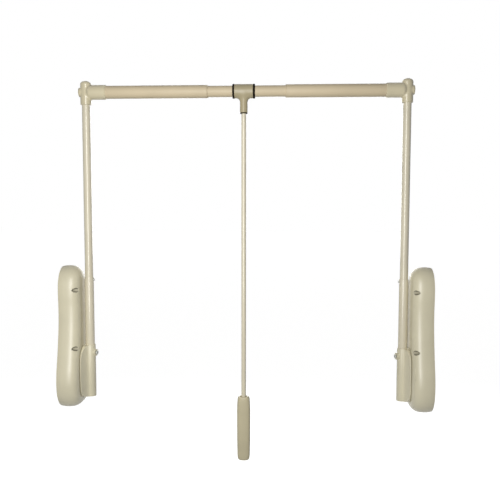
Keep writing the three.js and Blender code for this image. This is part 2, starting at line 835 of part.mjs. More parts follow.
// Snap pin that locks the two arm tubes: a head inside, a rounded nose outside.
function makeArmPin() {
  const bore = armRadius - armWall;
  const headTo = Math.sqrt(bore ** 2 - armPinHeadRadius ** 2) - seatGap * 2;
  const nose = armSleeveRadius + armPinProud;
  const noseHeight = armPinProud / 2;
  const dome = quarter(headSteps).map(([along, drawn]) => (
    [armPinRadius * (1 - drawn), nose - noseHeight + noseHeight * along]));
  return turned('x', vec(armFromWall, 0, armPinLevel), [
    [0, headTo - armPinHeadHeight], [armPinHeadRadius, headTo - armPinHeadHeight],
    [armPinHeadRadius, headTo], [armPinRadius, headTo], ...dome,
  ], smallSteps);
}

// Upright sleeve on the arm tube with a level socket for the bar and a hub for the cap.
function makeCornerFitting() {
  const arm = vec(armFromWall, 0, barHeight);
  const dome = quarter(domeSteps).map(([along, drawn]) => (
    [cornerRadius * (1 - drawn), cornerAbove - cornerDomeHeight * (1 - along)]));
  const sleeve = turned('z', arm, [
    [0, -cornerBelow], [cornerRadius - cornerChamfer, -cornerBelow],
    [cornerRadius, cornerChamfer - cornerBelow], ...dome,
  ], fineSteps);
  const shoulder = quarter(domeSteps).map(([along, drawn]) => (
    [socketRadius * (1 + along) / 2, socketShoulder + socketShoulderLength * drawn]));
  const socket = turned('x', arm, [
    [0, socketShoulder], ...shoulder, [socketRadius, socketLength - cornerChamfer],
    [socketRadius - cornerChamfer, socketLength], [0, socketLength],
  ], fineSteps);
  const hub = round('x', arm, hubRadius, -hubFace, 0);
  return cut(
    join(sleeve, socket, hub),
    round('z', arm, armRadius + seatGap, -cornerBelow - overrun, armTop + seatGap - barHeight, fineSteps),
    round('x', arm, barRadius + seatGap, socketFloor, socketLength + overrun, fineSteps),
    round('x', arm, hubRecessRadius, -hubFace - overrun, -socketFloor),
    screwWay('x', arm, cornerScrewRadius, -hubFace, socketLength),
  );
}

function makeCornerScrew() {
  const seat = socketFloor + seatGap;
  const headTo = seat + cornerScrewHeadHeight;
  const tip = barTubeFrom + barPlugLength - seatGap;
  return turned('x', vec(armFromWall, 0, barHeight), [
    [0, -headTo], [cornerScrewHeadRadius, -headTo], [cornerScrewHeadRadius, -seat],
    [cornerScrewRadius, -seat], [cornerScrewRadius, tip], [0, tip],
  ], smallSteps);
}

// Domed cap over the screw, with a skirt that sits in the hub's recess.
function makeCornerCap() {
  const face = hubFace + seatGap;
  const skirt = hubRecessRadius - seatGap;
  const dome = quarter(domeSteps).map(([along, drawn]) => (
    [hubRadius * (1 - drawn), -(face + capHeight * (1 + 2 * along) / 3)]));
  return turned('x', vec(armFromWall, 0, barHeight), [
    [0, -face], [skirt - capSkirt, -face], [skirt - capSkirt, capSkirtDepth - face],
    [skirt, capSkirtDepth - face], [skirt, -face], [hubRadius, -face], ...dome,
  ], roundSteps);
}

function makeBarPlug() {
  const arm = vec(armFromWall, 0, barHeight);
  return pipe(
    'x', arm, barBore - seatGap, cornerScrewRadius + seatGap, barTubeFrom, barTubeFrom + barPlugLength);
}

// How far a side's outer tube reaches from its arm, with the liner's lip.
function barReach(side) {
  return armFromMiddle - bareLength / 2 + side.sign * bareShift;
}

function makeOuterTube(side) {
  const arm = vec(armFromWall, 0, barHeight);
  return pipe('x', arm, barRadius, barBore, barTubeFrom, barReach(side) - linerLip, fineSteps);
}

// Sliding liner in the mouth of an outer tube, with a rounded lip against its end.
function makeLiner(side) {
  const bore = middleRadius + runGap;
  const sleeve = bore + linerWall;
  const mouth = barReach(side);
  const lipFrom = mouth - linerLip + seatGap;
  return turned('x', vec(armFromWall, 0, barHeight), [
    [bore, mouth - linerLength], [sleeve, mouth - linerLength], [sleeve, lipFrom],
    [barRadius, lipFrom], [barRadius, mouth - linerLip / 2], [barRadius - linerLip / 2, mouth],
    [bore, mouth], [bore, mouth - linerLength],
  ], fineSteps);
}

function makeMiddleTube() {
  const at = vec(bareShift, 0, barHeight);
  const half = middleLength / 2;
  return pipe('x', at, middleRadius, middleRadius - middleWall, -half, half, fineSteps);
}

// Stop ring on one end of the tee. `end` is -1 on the left and 1 on the right.
function makeStopRing(end) {
  const near = (teeLength / 2 + seatGap) * end;
  const far = near + stopRingLength * end;
  const bore = middleRadius + seatGap;
  const rounding = quarter(headSteps).map(([along, drawn]) => (
    [stopRingRadius - stopRingRounding * drawn, far - stopRingRounding * (1 - along) * end]));
  return turned('x', vec(teeShift, 0, barHeight), [
    [bore, near], [stopRingRadius, near], ...rounding, [bore, far], [bore, near],
  ], fineSteps);
}

// Collar on the middle tube with a stem that flares into it.
function makeTee() {
  const at = vec(teeShift, 0, barHeight);
  const half = teeLength / 2;
  const collar = turned('x', at, [
    [0, -half], [teeRadius - teeChamfer, -half], [teeRadius, teeChamfer - half],
    [teeRadius, half - teeChamfer], [teeRadius - teeChamfer, half], [0, half],
  ], fineSteps);
  const flare = quarter(domeSteps).map(([along, drawn]) => [
    stemRadius + (stemFlareRadius - stemRadius) * drawn,
    -stemFlareLevel - stemFlareLength * (1 - along),
  ]);
  const crown = quarter(domeSteps).slice(1).map(([along, drawn]) => [
    stemFlareRadius * (1 - drawn),
    -stemFlareLevel + (stemFlareLevel - stemCrownLevel) * along,
  ]);
  const stem = turned('z', at, [
    [0, -stemLength], [stemRadius - teeChamfer, -stemLength], [stemRadius, teeChamfer - stemLength],
    ...flare, ...crown,
  ], fineSteps);
  return cut(
    join(collar, stem),
    round('x', at, middleRadius + runGap, -half - overrun, half + overrun, fineSteps),
    round('z', at, pullRodRadius + seatGap, -stemLength - overrun, 0),
    round('z', at, stemBushRadius + seatGap, -stemLength - overrun, stemBushLength + seatGap - stemLength),
    screwWay('y', rodScrewPlace(), rodScrewRadius, 0, stemRadius + overrun),
  );
}

function rodScrewPlace() {
  return vec(teeShift, 0, barHeight - stemLength + rodScrewRise);
}

// Bush with a flange under the stem's mouth, round the pull rod.
function makeStemBush() {
  const bore = pullRodRadius + seatGap;
  const flangeTop = -stemLength - seatGap;
  const flangeBottom = flangeTop - stemFlangeHeight;
  const top = stemBushLength - stemLength;
  return turned('z', vec(teeShift, 0, barHeight), [
    [bore, flangeBottom], [stemFlangeRadius, flangeBottom], [stemFlangeRadius, flangeTop],
    [stemBushRadius, flangeTop], [stemBushRadius, top], [bore, top], [bore, flangeBottom],
  ], roundSteps);
}

function makePullRod() {
  const top = barHeight - middleRadius - runGap - pullRodGap;
  const hole = pullRodRadius - rodScrewDepth - seatGap;
  const bottom = gripTop - gripSocketDepth + seatGap;
  const at = vec(teeShift, 0, 0);
  return cut(
    round('z', at, pullRodRadius, bottom, top, fineSteps),
    screwWay('y', rodScrewPlace(), rodScrewRadius, hole, pullRodRadius + overrun),
  );
}

// Grub screw at the back of the stem that holds the pull rod.
function makeRodScrew() {
  const tip = pullRodRadius - rodScrewDepth;
  return round('y', rodScrewPlace(), rodScrewRadius, tip, stemRadius - seatGap, smallSteps);
}

// Section of the grip at a height: an ellipse squared off by its exponent.
function gripRing(height, share) {
  const ring = [];
  const power = 2 / gripRoundness;
  const bend = (value) => Math.sign(value) * Math.abs(value) ** power;
  for (let i = 0; i < gripSteps; i += 1) {
    const angle = (2 * Math.PI * i) / gripSteps;
    const x = gripHalfWidth * share * bend(Math.cos(angle));
    const y = gripHalfDepth * share * bend(Math.sin(angle));
    ring.push(vec(teeShift + x, y, height));
  }
  return ring;
}

function makeGrip() {
  const at = vec(teeShift, 0, gripTop);
  const bore = pullRodRadius + seatGap;
  const rings = gripShares.map(([along, share]) => gripRing(gripTop - gripLength * along, share));
  const recess = turned('z', at, [
    [0, -gripRecessDepth], [bore, -gripRecessDepth], [gripRecessRadius, 0],
    [gripRecessRadius, overrun], [0, overrun],
  ], roundSteps);
  return cut(loft(rings), recess, round('z', at, bore, -gripSocketDepth, overrun));
}

function addPiece(group, name, solid, look, mirrored = false) {
  const mesh = new THREE.Mesh(geometryOf(solid, mirrored), look);
  mesh.name = name;
  group.add(mesh);
}

// The pieces of one side: name, solid and material.
function sidePieces(side) {
  const [lowFront, , highFront] = pocketPlaces();
  return [
    ['cover', makeCover(), plastic],
    ['base_plate', makeBasePlate(), innerSteel],
    ['bridge_plate', makeBridge(), innerSteel],
    ['lower_bush', makeLowerBush(), bearingPlastic],
    ['upper_bush', makeUpperBush(), bearingPlastic],
    ['cover_screw_low', makeCoverScrew(lowFront), innerSteel],
    ['cover_screw_high', makeCoverScrew(highFront), innerSteel],
    ['strut_cylinder', makeStrutCylinder(), blackSteel],
    ['strut_rod', makeStrutRod(), innerSteel],
    ['strut_pin', makeStrutPin(), innerSteel],
    ['strut_saddle', makeStrutSaddle(), innerSteel],
    ['axle', makeAxle(), innerSteel],
    ['crank', makeCrank(), innerSteel],
    ['crank_pin', makeCrankPin(), innerSteel],
    ['arm_shoe', makeShoe(), plastic],
    ['axle_screw', makeAxleScrew(), innerSteel],
    ['clamp_screw', makeClampScrew(), innerSteel],
    ['arm_lower_tube', makeArmLowerTube(), armSteel],
    ['arm_upper_tube', makeArmUpperTube(), armSteel],
    ['arm_pin', makeArmPin(), innerSteel],
    ['corner_fitting', makeCornerFitting(), plastic],
    ['corner_screw', makeCornerScrew(), innerSteel],
    ['corner_cap', makeCornerCap(), plastic],
    ['bar_plug', makeBarPlug(), bearingPlastic],
    ['bar_tube', makeOuterTube(side), steelTube],
    ['bar_liner', makeLiner(side), steelTube],
  ];
}

function makeSide(side) {
  const group = new THREE.Group();
  for (const [name, solid, look] of sidePieces(side)) {
    addPiece(group, `${side.name}_${name}`, solid, look, side.sign < 0);
  }
  group.position.x = (-side.sign * wallGap) / 2;
  return group;
}

function makeMiddle() {
  const group = new THREE.Group();
  addPiece(group, 'middle_tube', makeMiddleTube(), steelTube);
  addPiece(group, 'left_stop_ring', makeStopRing(-1), blackRubber);
  addPiece(group, 'right_stop_ring', makeStopRing(1), blackRubber);
  addPiece(group, 'tee', makeTee(), fittingPlastic);
  addPiece(group, 'stem_bush', makeStemBush(), blackRubber);
  addPiece(group, 'pull_rod', makePullRod(), armSteel);
  addPiece(group, 'rod_screw', makeRodScrew(), blackSteel);
  addPiece(group, 'grip', makeGrip(), fittingPlastic);
  return group;
}

const closetRod = new THREE.Group();
closetRod.add(makeSide({ name: 'left', sign: 1 }));
closetRod.add(makeSide({ name: 'right', sign: -1 }));
closetRod.add(makeMiddle());

export default closetRod;
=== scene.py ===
"""Looks of a pull down closet rod: two wall housings, two arms and a telescopic bar.

Sizes are in millimetres and become metres when a mesh is made. The pieces of a side, apart from
its part of the bar, are drawn in that side's own frame, where x counts from the wall inwards;
the right side is the mirror image of the left one. Heights count from the axis that the arms
turn about. The main sizes and places come from the boxes of the CAD nodes.
"""

import math

import bmesh
import bpy
import numpy as np
from mathutils import Matrix, Vector
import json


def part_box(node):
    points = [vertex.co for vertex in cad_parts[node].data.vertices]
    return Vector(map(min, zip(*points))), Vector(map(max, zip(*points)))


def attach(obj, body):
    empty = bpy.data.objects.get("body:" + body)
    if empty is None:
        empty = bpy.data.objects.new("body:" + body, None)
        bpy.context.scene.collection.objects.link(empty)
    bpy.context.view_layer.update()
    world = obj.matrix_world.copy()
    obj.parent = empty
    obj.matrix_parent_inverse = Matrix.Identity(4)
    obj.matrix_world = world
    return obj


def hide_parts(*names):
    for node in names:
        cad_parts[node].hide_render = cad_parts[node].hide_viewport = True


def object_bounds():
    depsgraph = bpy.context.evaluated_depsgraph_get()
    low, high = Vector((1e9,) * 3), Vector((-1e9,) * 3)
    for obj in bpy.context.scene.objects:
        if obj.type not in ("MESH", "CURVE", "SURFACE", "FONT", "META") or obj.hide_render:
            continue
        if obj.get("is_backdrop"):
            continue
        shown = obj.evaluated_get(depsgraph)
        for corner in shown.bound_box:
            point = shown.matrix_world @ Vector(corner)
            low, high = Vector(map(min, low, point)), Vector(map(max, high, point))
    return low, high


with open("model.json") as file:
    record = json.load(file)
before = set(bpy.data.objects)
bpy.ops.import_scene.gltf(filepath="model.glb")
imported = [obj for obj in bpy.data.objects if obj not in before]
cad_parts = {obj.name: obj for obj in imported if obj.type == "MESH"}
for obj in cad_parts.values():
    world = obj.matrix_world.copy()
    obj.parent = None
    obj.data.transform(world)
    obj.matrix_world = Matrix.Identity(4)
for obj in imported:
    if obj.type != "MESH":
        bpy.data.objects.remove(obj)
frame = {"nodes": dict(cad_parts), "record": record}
cad_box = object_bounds()

MM = 0.001
SIDES = ("left", "right")


def box_mm(node):
    """The lowest and highest corner of a CAD node, in millimetres."""
    low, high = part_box(node)
    return low / MM, high / MM


# Camera, fitted to the photograph's frame
IMAGE_SIDE = 500  # pixels
FOCAL_PIXELS = 600
SENSOR_WIDTH = 36
CAMERA_PLACE = (85.8, -1521.2, 446.2)
CAMERA_PITCH = 4.12  # degrees, downwards
CAMERA_YAW = 2.71  # degrees, towards the left
CAMERA_ROLL = 0.07  # degrees
CLIP_END = 60  # metres

# Stage and lights; lengths in metres, strengths as shares of a white surface's brightness
FLOOR_DROP = 0.62
FLOOR_SIDE = 60
FLOOR_COLOUR = (0.56, 0.56, 0.55)  # linear
FLOOR_ROUGHNESS = 0.9
FLOOR_SPECULAR = 0.1
FLOOR_LIFT = 0.95  # glow that only the camera, gloss and glass see
AMBIENT = 0.04  # the world's light on the object
# Place, width, height and brightness of each lamp
LAMPS = {
    "key": ((-0.17, -1.15, 0.5), 0.3, 1.05, 1.13),
    "back": ((0, 2.4, 0.9), 1.6, 1.6, 0.55),
}
LAMP_AIM = (0, 0, 0.3)

# Fineness of the meshes
ROUND_STEPS = 72
SMALL_ROUND_STEPS = 40
GRIP_STEPS = 96
OUTLINE_STEPS = 8  # between two points of the outline
CROWN_STEPS = 22
FLANK_STEPS = 4
WEB_STEPS = 16
ARC_STEPS = 5
BEVEL_STEPS = 3
SMOOTH_ANGLE = 32  # degrees; sharper edges stay sharp
BEVEL_ANGLE = 38  # degrees; sharper edges are rounded
FLAT_ANGLE = 155  # degrees between two lines of a profile; flatter corners aren't rounded
EDGE_ROOM = 2.2  # a rounding takes a line's length divided by this at most
MERGE_DISTANCE = 1e-7  # metres
LEAST_EDGE = 1e-8  # metres

# Blended pieces: size of the even mesh, and how its points are laid on the surface
BLEND_VOXEL = 0.7
BLEND_PASSES = 6
SLOPE_STEP = 0.01
LEAST_SLOPE = 0.1

# Edge roundings, and gaps between pieces
FINE_EDGE = 0.35
SOFT_EDGE = 0.8
TUBE_EDGE = 0.3
CLEARANCE = 0.3
OVERRUN = 3  # how far a cutting tool reaches out of the solid

# Housing cover
COVER_LOW, COVER_HIGH = box_mm("left_cover")
OUTLINE_SWELL = 1.006  # how far the curve swings out beyond its widest point
WALL_X = COVER_LOW.x
COVER_THICKNESS = COVER_HIGH.x - COVER_LOW.x
COVER_HALF_DEPTH = COVER_HIGH.y / OUTLINE_SWELL
COVER_TOP = COVER_HIGH.z
COVER_BOTTOM = -COVER_LOW.z
COVER_FLANK = 15  # height of the flank, from the wall to where the crown starts
COVER_EDGE_DRAW = 2  # how far the flank is drawn in at the wall
CROWN_DEPTH = 35  # how far in from the outline the crown is level
CROWN_FULLNESS = 2.8  # exponent of the crown's curve, 2 is an ellipse
COVER_WALL = 2.5
COVER_HOLE_RADIUS = 12
HEAD_SHARE = 0.62  # radius of the outline's head, as a share of the half depth
# Half depth, then height below the pivot axis (negative) or above it, from the lowest point up
OUTLINE_SHARES = (
    (0, -1), (0.38, -0.96), (0.69, -0.8), (0.91, -0.5), (1, -0.1), (0.97, 0.09), (0.855, 0.21),
    (0.73, 0.357), (0.64, 0.51), (0.62, 0.646), (0.647, 0.765), (0.625, 0.857), (0.485, 0.935),
    (0.257, 0.983), (0, 1),
)
POCKET_RADIUS = 6
POCKET_EDGE = 8.5  # from the outline to the pocket's middle
POCKET_FLOOR = 12
POCKET_WALL = 1.6
POCKET_BASE = 2.2  # thickness below the pocket's floor
POCKET_HEIGHTS = (86.5, 235)
SCREW_TIP = 2.5  # from the wall
SCREW_RADIUS = 1.9
SCREW_HEAD_RADIUS = 4.2
SCREW_HEAD_HEIGHT = 2.4
SCREW_CROWN_SHARE = 0.8  # radius of the head's top, as a share of the head's
SCREW_TURN = 20  # degrees
SCREW_CROSS = (3.6, 0.9, 1.3)  # length, width and depth of the cross recess

# Arm tubes
LOWER_LOW, LOWER_HIGH = box_mm("left_arm_lower_tube")
UPPER_LOW, UPPER_HIGH = box_mm("left_arm_upper_tube")
ARM_X = (UPPER_LOW.x + UPPER_HIGH.x) / 2 - WALL_X
ARM_WALL = 1.25  # of the upper tube
ARM_RADIUS = UPPER_HIGH.y
ARM_BORE = ARM_RADIUS - ARM_WALL
SLEEVE_WALL = 1  # of the lower tube, which takes the upper one in
SLEEVE_RADIUS = LOWER_HIGH.y
SLEEVE_BORE = SLEEVE_RADIUS - SLEEVE_WALL
PIN_LEVEL = 258
PIN_RADIUS = 3
PIN_HEAD_RADIUS = 4.2
PIN_HEAD_HEIGHT = 1.8
PIN_NOSE = 3.2
PIN_EDGE = 1.6

# Arm shoe
SHOE_LOW, SHOE_HIGH = box_mm("left_arm_shoe")
SHOE_TOP = SHOE_HIGH.z
SHOE_BOTTOM = -SHOE_LOW.z
SHOE_HALF_DEPTH = SHOE_HIGH.y
SHOE_BACK = 53.2
SHOE_PLATE_EDGE = 1.4
SHOE_WEB_BEND = 6.8  # where the web turns from the plate to the sleeve
SHOE_WEB_RISE = 3.6
SHOE_SLEEVE_WALL = 1.6
SHOE_BORE = SLEEVE_RADIUS + CLEARANCE
SHOE_SLEEVE = SHOE_BORE + SHOE_SLEEVE_WALL
SHOE_SOCKET_FLOOR = 19
SHOE_EDGE = 1.3
# Half depth, then height below the pivot axis (negative) or above it, from the lowest point up
SHOE_OUTLINE_SHARES = (
    (0, -1), (0.55, -0.94), (0.86, -0.68), (1, -0.2), (1, 0.35), (0.9, 0.76), (0.62, 0.92),
)
CLAMP_LEVEL = 68
CLAMP_ANGLE = 15  # degrees that the screw turns from straight inwards to the front
CLAMP_BOSS_RADIUS = 8.5
CLAMP_BOSS_REACH = 18
CLAMP_SCREW_RADIUS = 2.2
CLAMP_HEAD_RADIUS = 5.6
CLAMP_HEAD_HEIGHT = 2.8
CLAMP_HEAD_EDGE = 1.2
CLAMP_TURN = 35  # degrees

# Hanging bar
MIDDLE_LOW, MIDDLE_HIGH = box_mm("middle_tube")
BAR_Z = (MIDDLE_LOW.z + MIDDLE_HIGH.z) / 2
BAR_RADIUS = box_mm("left_bar_tube")[1].y
BAR_WALL = 0.9
MIDDLE_RADIUS = (MIDDLE_HIGH.z - MIDDLE_LOW.z) / 2
MIDDLE_WALL = 1.2
SLIDING_PLAY = 0.35
SLIDING_BORE = MIDDLE_RADIUS + SLIDING_PLAY  # of what slides or turns on the middle tube
LINER_WALL = 0.6
LINER_LIP = 2
LINER_EDGE = 0.7
RING_ROUNDING = 1.6

# Corner fitting
CORNER_LOW, CORNER_HIGH = box_mm("left_corner_fitting")
SOCKET_RADIUS = CORNER_HIGH.y
CORNER_RADIUS = 13.7
CORNER_DOME = 9
CORNER_EDGE = 1.5
SOCKET_START = 4
SOCKET_SHOULDER = 9
SOCKET_BLEND = 3.5
SOCKET_FLOOR = 12.25
HUB_BLEND = 2
HUB_RADIUS = 11.6
HUB_RECESS_RADIUS = 8
HUB_RECESS_DEPTH = 2.9
CAP_SKIRT = 1.7
CAP_SKIRT_DEPTH = 1.8
CAP_RIM_SHARE = 0.3  # height of the cap's straight rim, as a share of its whole height

# Tee, pull rod and grip
TEE_LOW, TEE_HIGH = box_mm("tee")
ROD_LOW, ROD_HIGH = box_mm("pull_rod")
GRIP_LOW, GRIP_HIGH = box_mm("grip")
TEE_X = (TEE_LOW.x + TEE_HIGH.x) / 2
TEE_RADIUS = TEE_HIGH.y
STEM_RADIUS = 9.6
STEM_BLEND = 11
STEM_BUSH_RADIUS = 8.2
STEM_BUSH_LENGTH = 7
STEM_FLANGE_RADIUS = 9.2
STEM_FLANGE_HEIGHT = 2
ROD_RADIUS = (ROD_HIGH.x - ROD_LOW.x) / 2
GRIP_SOCKET_DEPTH = 34
GRIP_RECESS_RADIUS = 9.5
GRIP_RECESS_DEPTH = 7
GRIP_ROUNDNESS = 2.7  # exponent of the section: 2 is an ellipse
# Place from the grip's top to its end, then width there, as shares of its length and width
GRIP_SHARES = (
    (0, 0.72), (0.012, 0.85), (0.035, 0.91), (0.1, 0.96), (0.22, 1), (0.45, 0.995), (0.7, 0.98),
    (0.92, 0.94), (0.97, 0.89), (0.99, 0.8), (1, 0.65),
)

# Colours as seen in plain light, red, green and blue of 255
IVORY = (208, 201, 174)
WARM_IVORY = (204, 194, 163)
BEIGE = (193, 184, 154)
DARK_BEIGE = (168, 157, 126)
CHAMPAGNE = (206, 191, 161)
ARM_IVORY = (212, 204, 180)
ZINC = (168, 168, 162)
ACETAL = (226, 222, 208)
BLACK_RUBBER = (24, 20, 12)
BLACK_ENAMEL = (46, 45, 42)

# What all finishes share
CLOUD_SCALE = 14  # of the soft cloudiness in the colour
CLOUD_DETAIL = 3
CLOUD_ENDS = (0.3, 0.7)  # the noise's values at the darkest and the lightest colour
GRAIN_DETAIL = 2
GLOSS_SPREAD = 0.12  # how far the grain moves the roughness, up and down
RELIEF_HEIGHT = 0.0002  # metres
POCKET_SHADE_ATTRIBUTE = "recess"  # face attribute, how much painted shade falls on the wall of a screw pocket
POCKET_SHADE_LEAST = 0.3  # painted shade on the walls to the front and rear; the upper and lower ones, which the frontal lamp reaches less, have 1
POCKET_SHADE_BRIGHTNESS = 0.28  # brightness of the colour where the painted shade is 1


# Materials

def linear(colour):
    """An sRGB colour of 0 to 255 as linear red, green, blue and alpha."""
    def channel(value):
        share = value / 255
        if share <= 0.04045:
            return share / 12.92
        return ((share + 0.055) / 1.055) ** 2.4
    return (*[channel(value) for value in colour], 1)


def shaded(colour, factor):
    """The linear colour, made brighter or darker."""
    return (*[min(1, channel * factor) for channel in linear(colour)[:3]], 1)


def add_noise(tree, scale, detail, stretch=(1, 1, 1)):
    """A noise texture in the object's own coordinates, stretched along the axes."""
    coordinates = tree.nodes.new("ShaderNodeTexCoord")
    mapping = tree.nodes.new("ShaderNodeMapping")
    mapping.inputs["Scale"].default_value = stretch
    noise = tree.nodes.new("ShaderNodeTexNoise")
    noise.inputs["Scale"].default_value = scale
    noise.inputs["Detail"].default_value = detail
    tree.links.new(coordinates.outputs["Object"], mapping.inputs["Vector"])
    tree.links.new(mapping.outputs["Vector"], noise.inputs["Vector"])
    return noise.outputs["Fac"]


def make_material(name, colour, roughness, metallic=0.0, specular=0.4, grain=1400, bump=0.06,
                  spread=0.05, stretch=(1, 1, 1)):
    """A finish with soft cloudiness, painted shade in screw pockets, and fine grain in roughness
    and relief.
    """
    material = bpy.data.materials.new(name)
    material.use_nodes = True
    tree = material.node_tree
    shader = tree.nodes["Principled BSDF"]
    shader.inputs["Metallic"].default_value = metallic
    shader.inputs["Specular IOR Level"].default_value = specular
    tint = tree.nodes.new("ShaderNodeValToRGB")
    for element, position, factor in zip(
            tint.color_ramp.elements, CLOUD_ENDS, (1 - spread, 1 + spread)):
        element.color = shaded(colour, factor)
        element.position = position
    tree.links.new(add_noise(tree, CLOUD_SCALE, CLOUD_DETAIL), tint.inputs["Fac"])
    # painted shade: mixes the colour towards a dark copy of itself on the faces marked inside the
    # screw pockets
    pocket_shade_mix = tree.nodes.new("ShaderNodeMix")
    pocket_shade_mix.data_type = "RGBA"
    pocket_shade_mix.inputs["B"].default_value = shaded(colour, POCKET_SHADE_BRIGHTNESS)
    recess = tree.nodes.new("ShaderNodeAttribute")
    recess.attribute_name = POCKET_SHADE_ATTRIBUTE
    tree.links.new(recess.outputs["Fac"], pocket_shade_mix.inputs["Factor"])
    tree.links.new(tint.outputs["Color"], pocket_shade_mix.inputs["A"])
    tree.links.new(pocket_shade_mix.outputs["Result"], shader.inputs["Base Color"])
    fine = add_noise(tree, grain, GRAIN_DETAIL, stretch)
    gloss = tree.nodes.new("ShaderNodeMapRange")
    gloss.inputs["To Min"].default_value = roughness * (1 - GLOSS_SPREAD)
    gloss.inputs["To Max"].default_value = roughness * (1 + GLOSS_SPREAD)
    tree.links.new(fine, gloss.inputs["Value"])
    tree.links.new(gloss.outputs["Result"], shader.inputs["Roughness"])
    relief = tree.nodes.new("ShaderNodeBump")
    relief.inputs["Strength"].default_value = bump
    relief.inputs["Distance"].default_value = RELIEF_HEIGHT
    tree.links.new(fine, relief.inputs["Height"])
    tree.links.new(relief.outputs["Normal"], shader.inputs["Normal"])
    return material


MATERIALS = {
    "moulding": make_material("ivory_moulding", IVORY, 0.38, specular=0.65),
    "corner": make_material("warm_moulding", WARM_IVORY, 0.3, specular=0.7),
    "fitting_moulding": make_material("beige_moulding", BEIGE, 0.4, specular=0.25),
    "tee": make_material("dark_beige_moulding", DARK_BEIGE, 0.36, specular=0.35),
    "tube_paint": make_material(
        "champagne_paint", CHAMPAGNE, 0.4, specular=0.15, grain=2200, bump=0.04, spread=0.03,
    ),
    "arm_paint": make_material(
        "ivory_paint", ARM_IVORY, 0.24, specular=0.6, grain=2200, bump=0.04, spread=0.03,
    ),
    "zinc_steel": make_material(
        "zinc_steel", ZINC, 0.36, metallic=0.9, grain=900, bump=0.05, stretch=(1, 1, 0.15),
    ),
    "bearing_plastic": make_material("acetal", ACETAL, 0.45, grain=1000, bump=0.03),
    "black_rubber": make_material(
        "black_rubber", BLACK_RUBBER, 0.8, specular=0.1, grain=1800, bump=0.1, spread=0.15,
    ),
    "black_steel": make_material(
        "black_enamel", BLACK_ENAMEL, 0.4, specular=0.45, grain=1500, bump=0.05, spread=0.1,
    ),
}


# Mesh tools

def new_object(name, points, faces):
    """A mesh object from points in millimetres."""
    mesh = bpy.data.meshes.new(name)
    mesh.from_pydata([Vector(point) * MM for point in points], [], faces)
    mesh.validate()
    solid = bpy.data.objects.new(name, mesh)
    bpy.context.scene.collection.objects.link(solid)
    close_up(solid)
    return solid


def close_up(solid):
    """Merges doubled points, drops empty faces and turns all faces outwards."""
    shape = bmesh.new()
    shape.from_mesh(solid.data)
    bmesh.ops.remove_doubles(shape, verts=shape.verts, dist=MERGE_DISTANCE)
    bmesh.ops.dissolve_degenerate(shape, edges=shape.edges, dist=LEAST_EDGE)
    bmesh.ops.recalc_face_normals(shape, faces=shape.faces)
    shape.to_mesh(solid.data)
    shape.free()


def quarter_turn():
    """Angles from 0 to 90 degrees, for a rounding of many steps."""
    return [math.pi / 2 * k / CROWN_STEPS for k in range(CROWN_STEPS + 1)]


def loft(name, rings):
    """A closed body through rings of equal length, with a flat end on the first and the last."""
    count = len(rings[0])
    points = [point for ring in rings for point in ring]
    faces = []
    for low in range(0, (len(rings) - 1) * count, count):
        for i in range(count):
            near = low + i
            far = low + (i + 1) % count
            faces.append((near, far, far + count, near + count))
    faces.append(tuple(range(count - 1, -1, -1)))
    faces.append(tuple(range(len(points) - count, len(points))))
    return new_object(name, points, faces)


# Each sets a point in the plane across an axis at a place along it
AXES = {
    "x": lambda at, a, b, along: (at[0] + along, at[1] + a, at[2] + b),
    "y": lambda at, a, b, along: (at[0] + b, at[1] + along, at[2] + a),
    "z": lambda at, a, b, along: (at[0] + a, at[1] + b, at[2] + along),
}


def turned(name, axis, at, profile, steps=ROUND_STEPS):
    """A body of revolution. The profile lists radius and place along the axis; it starts and
    ends on the axis, or closes on itself."""
    place = AXES[axis]
    points = []
    for radius, along in profile:
        for i in range(steps):
            angle = 2 * math.pi * i / steps
            points.append(place(at, radius * math.cos(angle), radius * math.sin(angle), along))
    faces = []
    rows = len(profile)
    closed = profile[0][0] > 0
    for row in range(rows if closed else rows - 1):
        upper = (row + 1) % rows
        for i in range(steps):
            j = (i + 1) % steps
            faces.append((row * steps + i, row * steps + j, upper * steps + j, upper * steps + i))
    return new_object(name, points, faces)


def rounded(profile, radius, closed=False):
    """Rounds the corners between the ends of a profile, or all of a closed one, each as far as
    the lines that meet there leave room."""
    count = len(profile)
    result = []
    for i, corner in enumerate(profile):
        if not closed and i in (0, count - 1):
            result.append(corner)
            continue
        here = Vector(corner)
        before = Vector(profile[i - 1]) - here
        after = Vector(profile[(i + 1) % count]) - here
        reach = min(radius, before.length / EDGE_ROOM, after.length / EDGE_ROOM)
        if before.angle(after) > math.radians(FLAT_ANGLE):
            result.append(corner)
            continue
        start = here + before.normalized() * reach
        end = here + after.normalized() * reach
        for k in range(ARC_STEPS + 1):
            share = k / ARC_STEPS
            point = start.lerp(here, share).lerp(here.lerp(end, share), share)
            result.append(tuple(point))
    return result


def rod(name, axis, at, radius, start, end, edge=0.0, steps=SMALL_ROUND_STEPS):
    profile = [(0, start), (radius, start), (radius, end), (0, end)]
    return turned(name, axis, at, rounded(profile, edge) if edge else profile, steps)


def pipe(name, axis, at, outer, inner, start, end, edge=TUBE_EDGE, steps=ROUND_STEPS):
    profile = [(inner, start), (outer, start), (outer, end), (inner, end)]
    return turned(name, axis, at, rounded(profile, edge, closed=True), steps)


def prism(name, axis, outline, start, end):
    """A flat outline, given in the two other axes, carried along an axis."""
    place = AXES[axis]
    rings = [[place((0, 0, 0), a, b, along) for a, b in outline] for along in (start, end)]
    return loft(name, rings)


def remove(solid):
    mesh = solid.data
    bpy.data.objects.remove(solid)
    bpy.data.meshes.remove(mesh)


def apply_modifiers(solid):
    bpy.context.view_layer.update()
    graph = bpy.context.evaluated_depsgraph_get()
    mesh = bpy.data.meshes.new_from_object(solid.evaluated_get(graph))
    old = solid.data
    solid.modifiers.clear()
    solid.data = mesh
    bpy.data.meshes.remove(old)


def merged(solids):
    """Several solids as one object, without a boolean."""
    shape = bmesh.new()
    for solid in solids:
        shape.from_mesh(solid.data)
    first, *others = solids
    shape.to_mesh(first.data)
    shape.free()
    for solid in others:
        remove(solid)
    return first


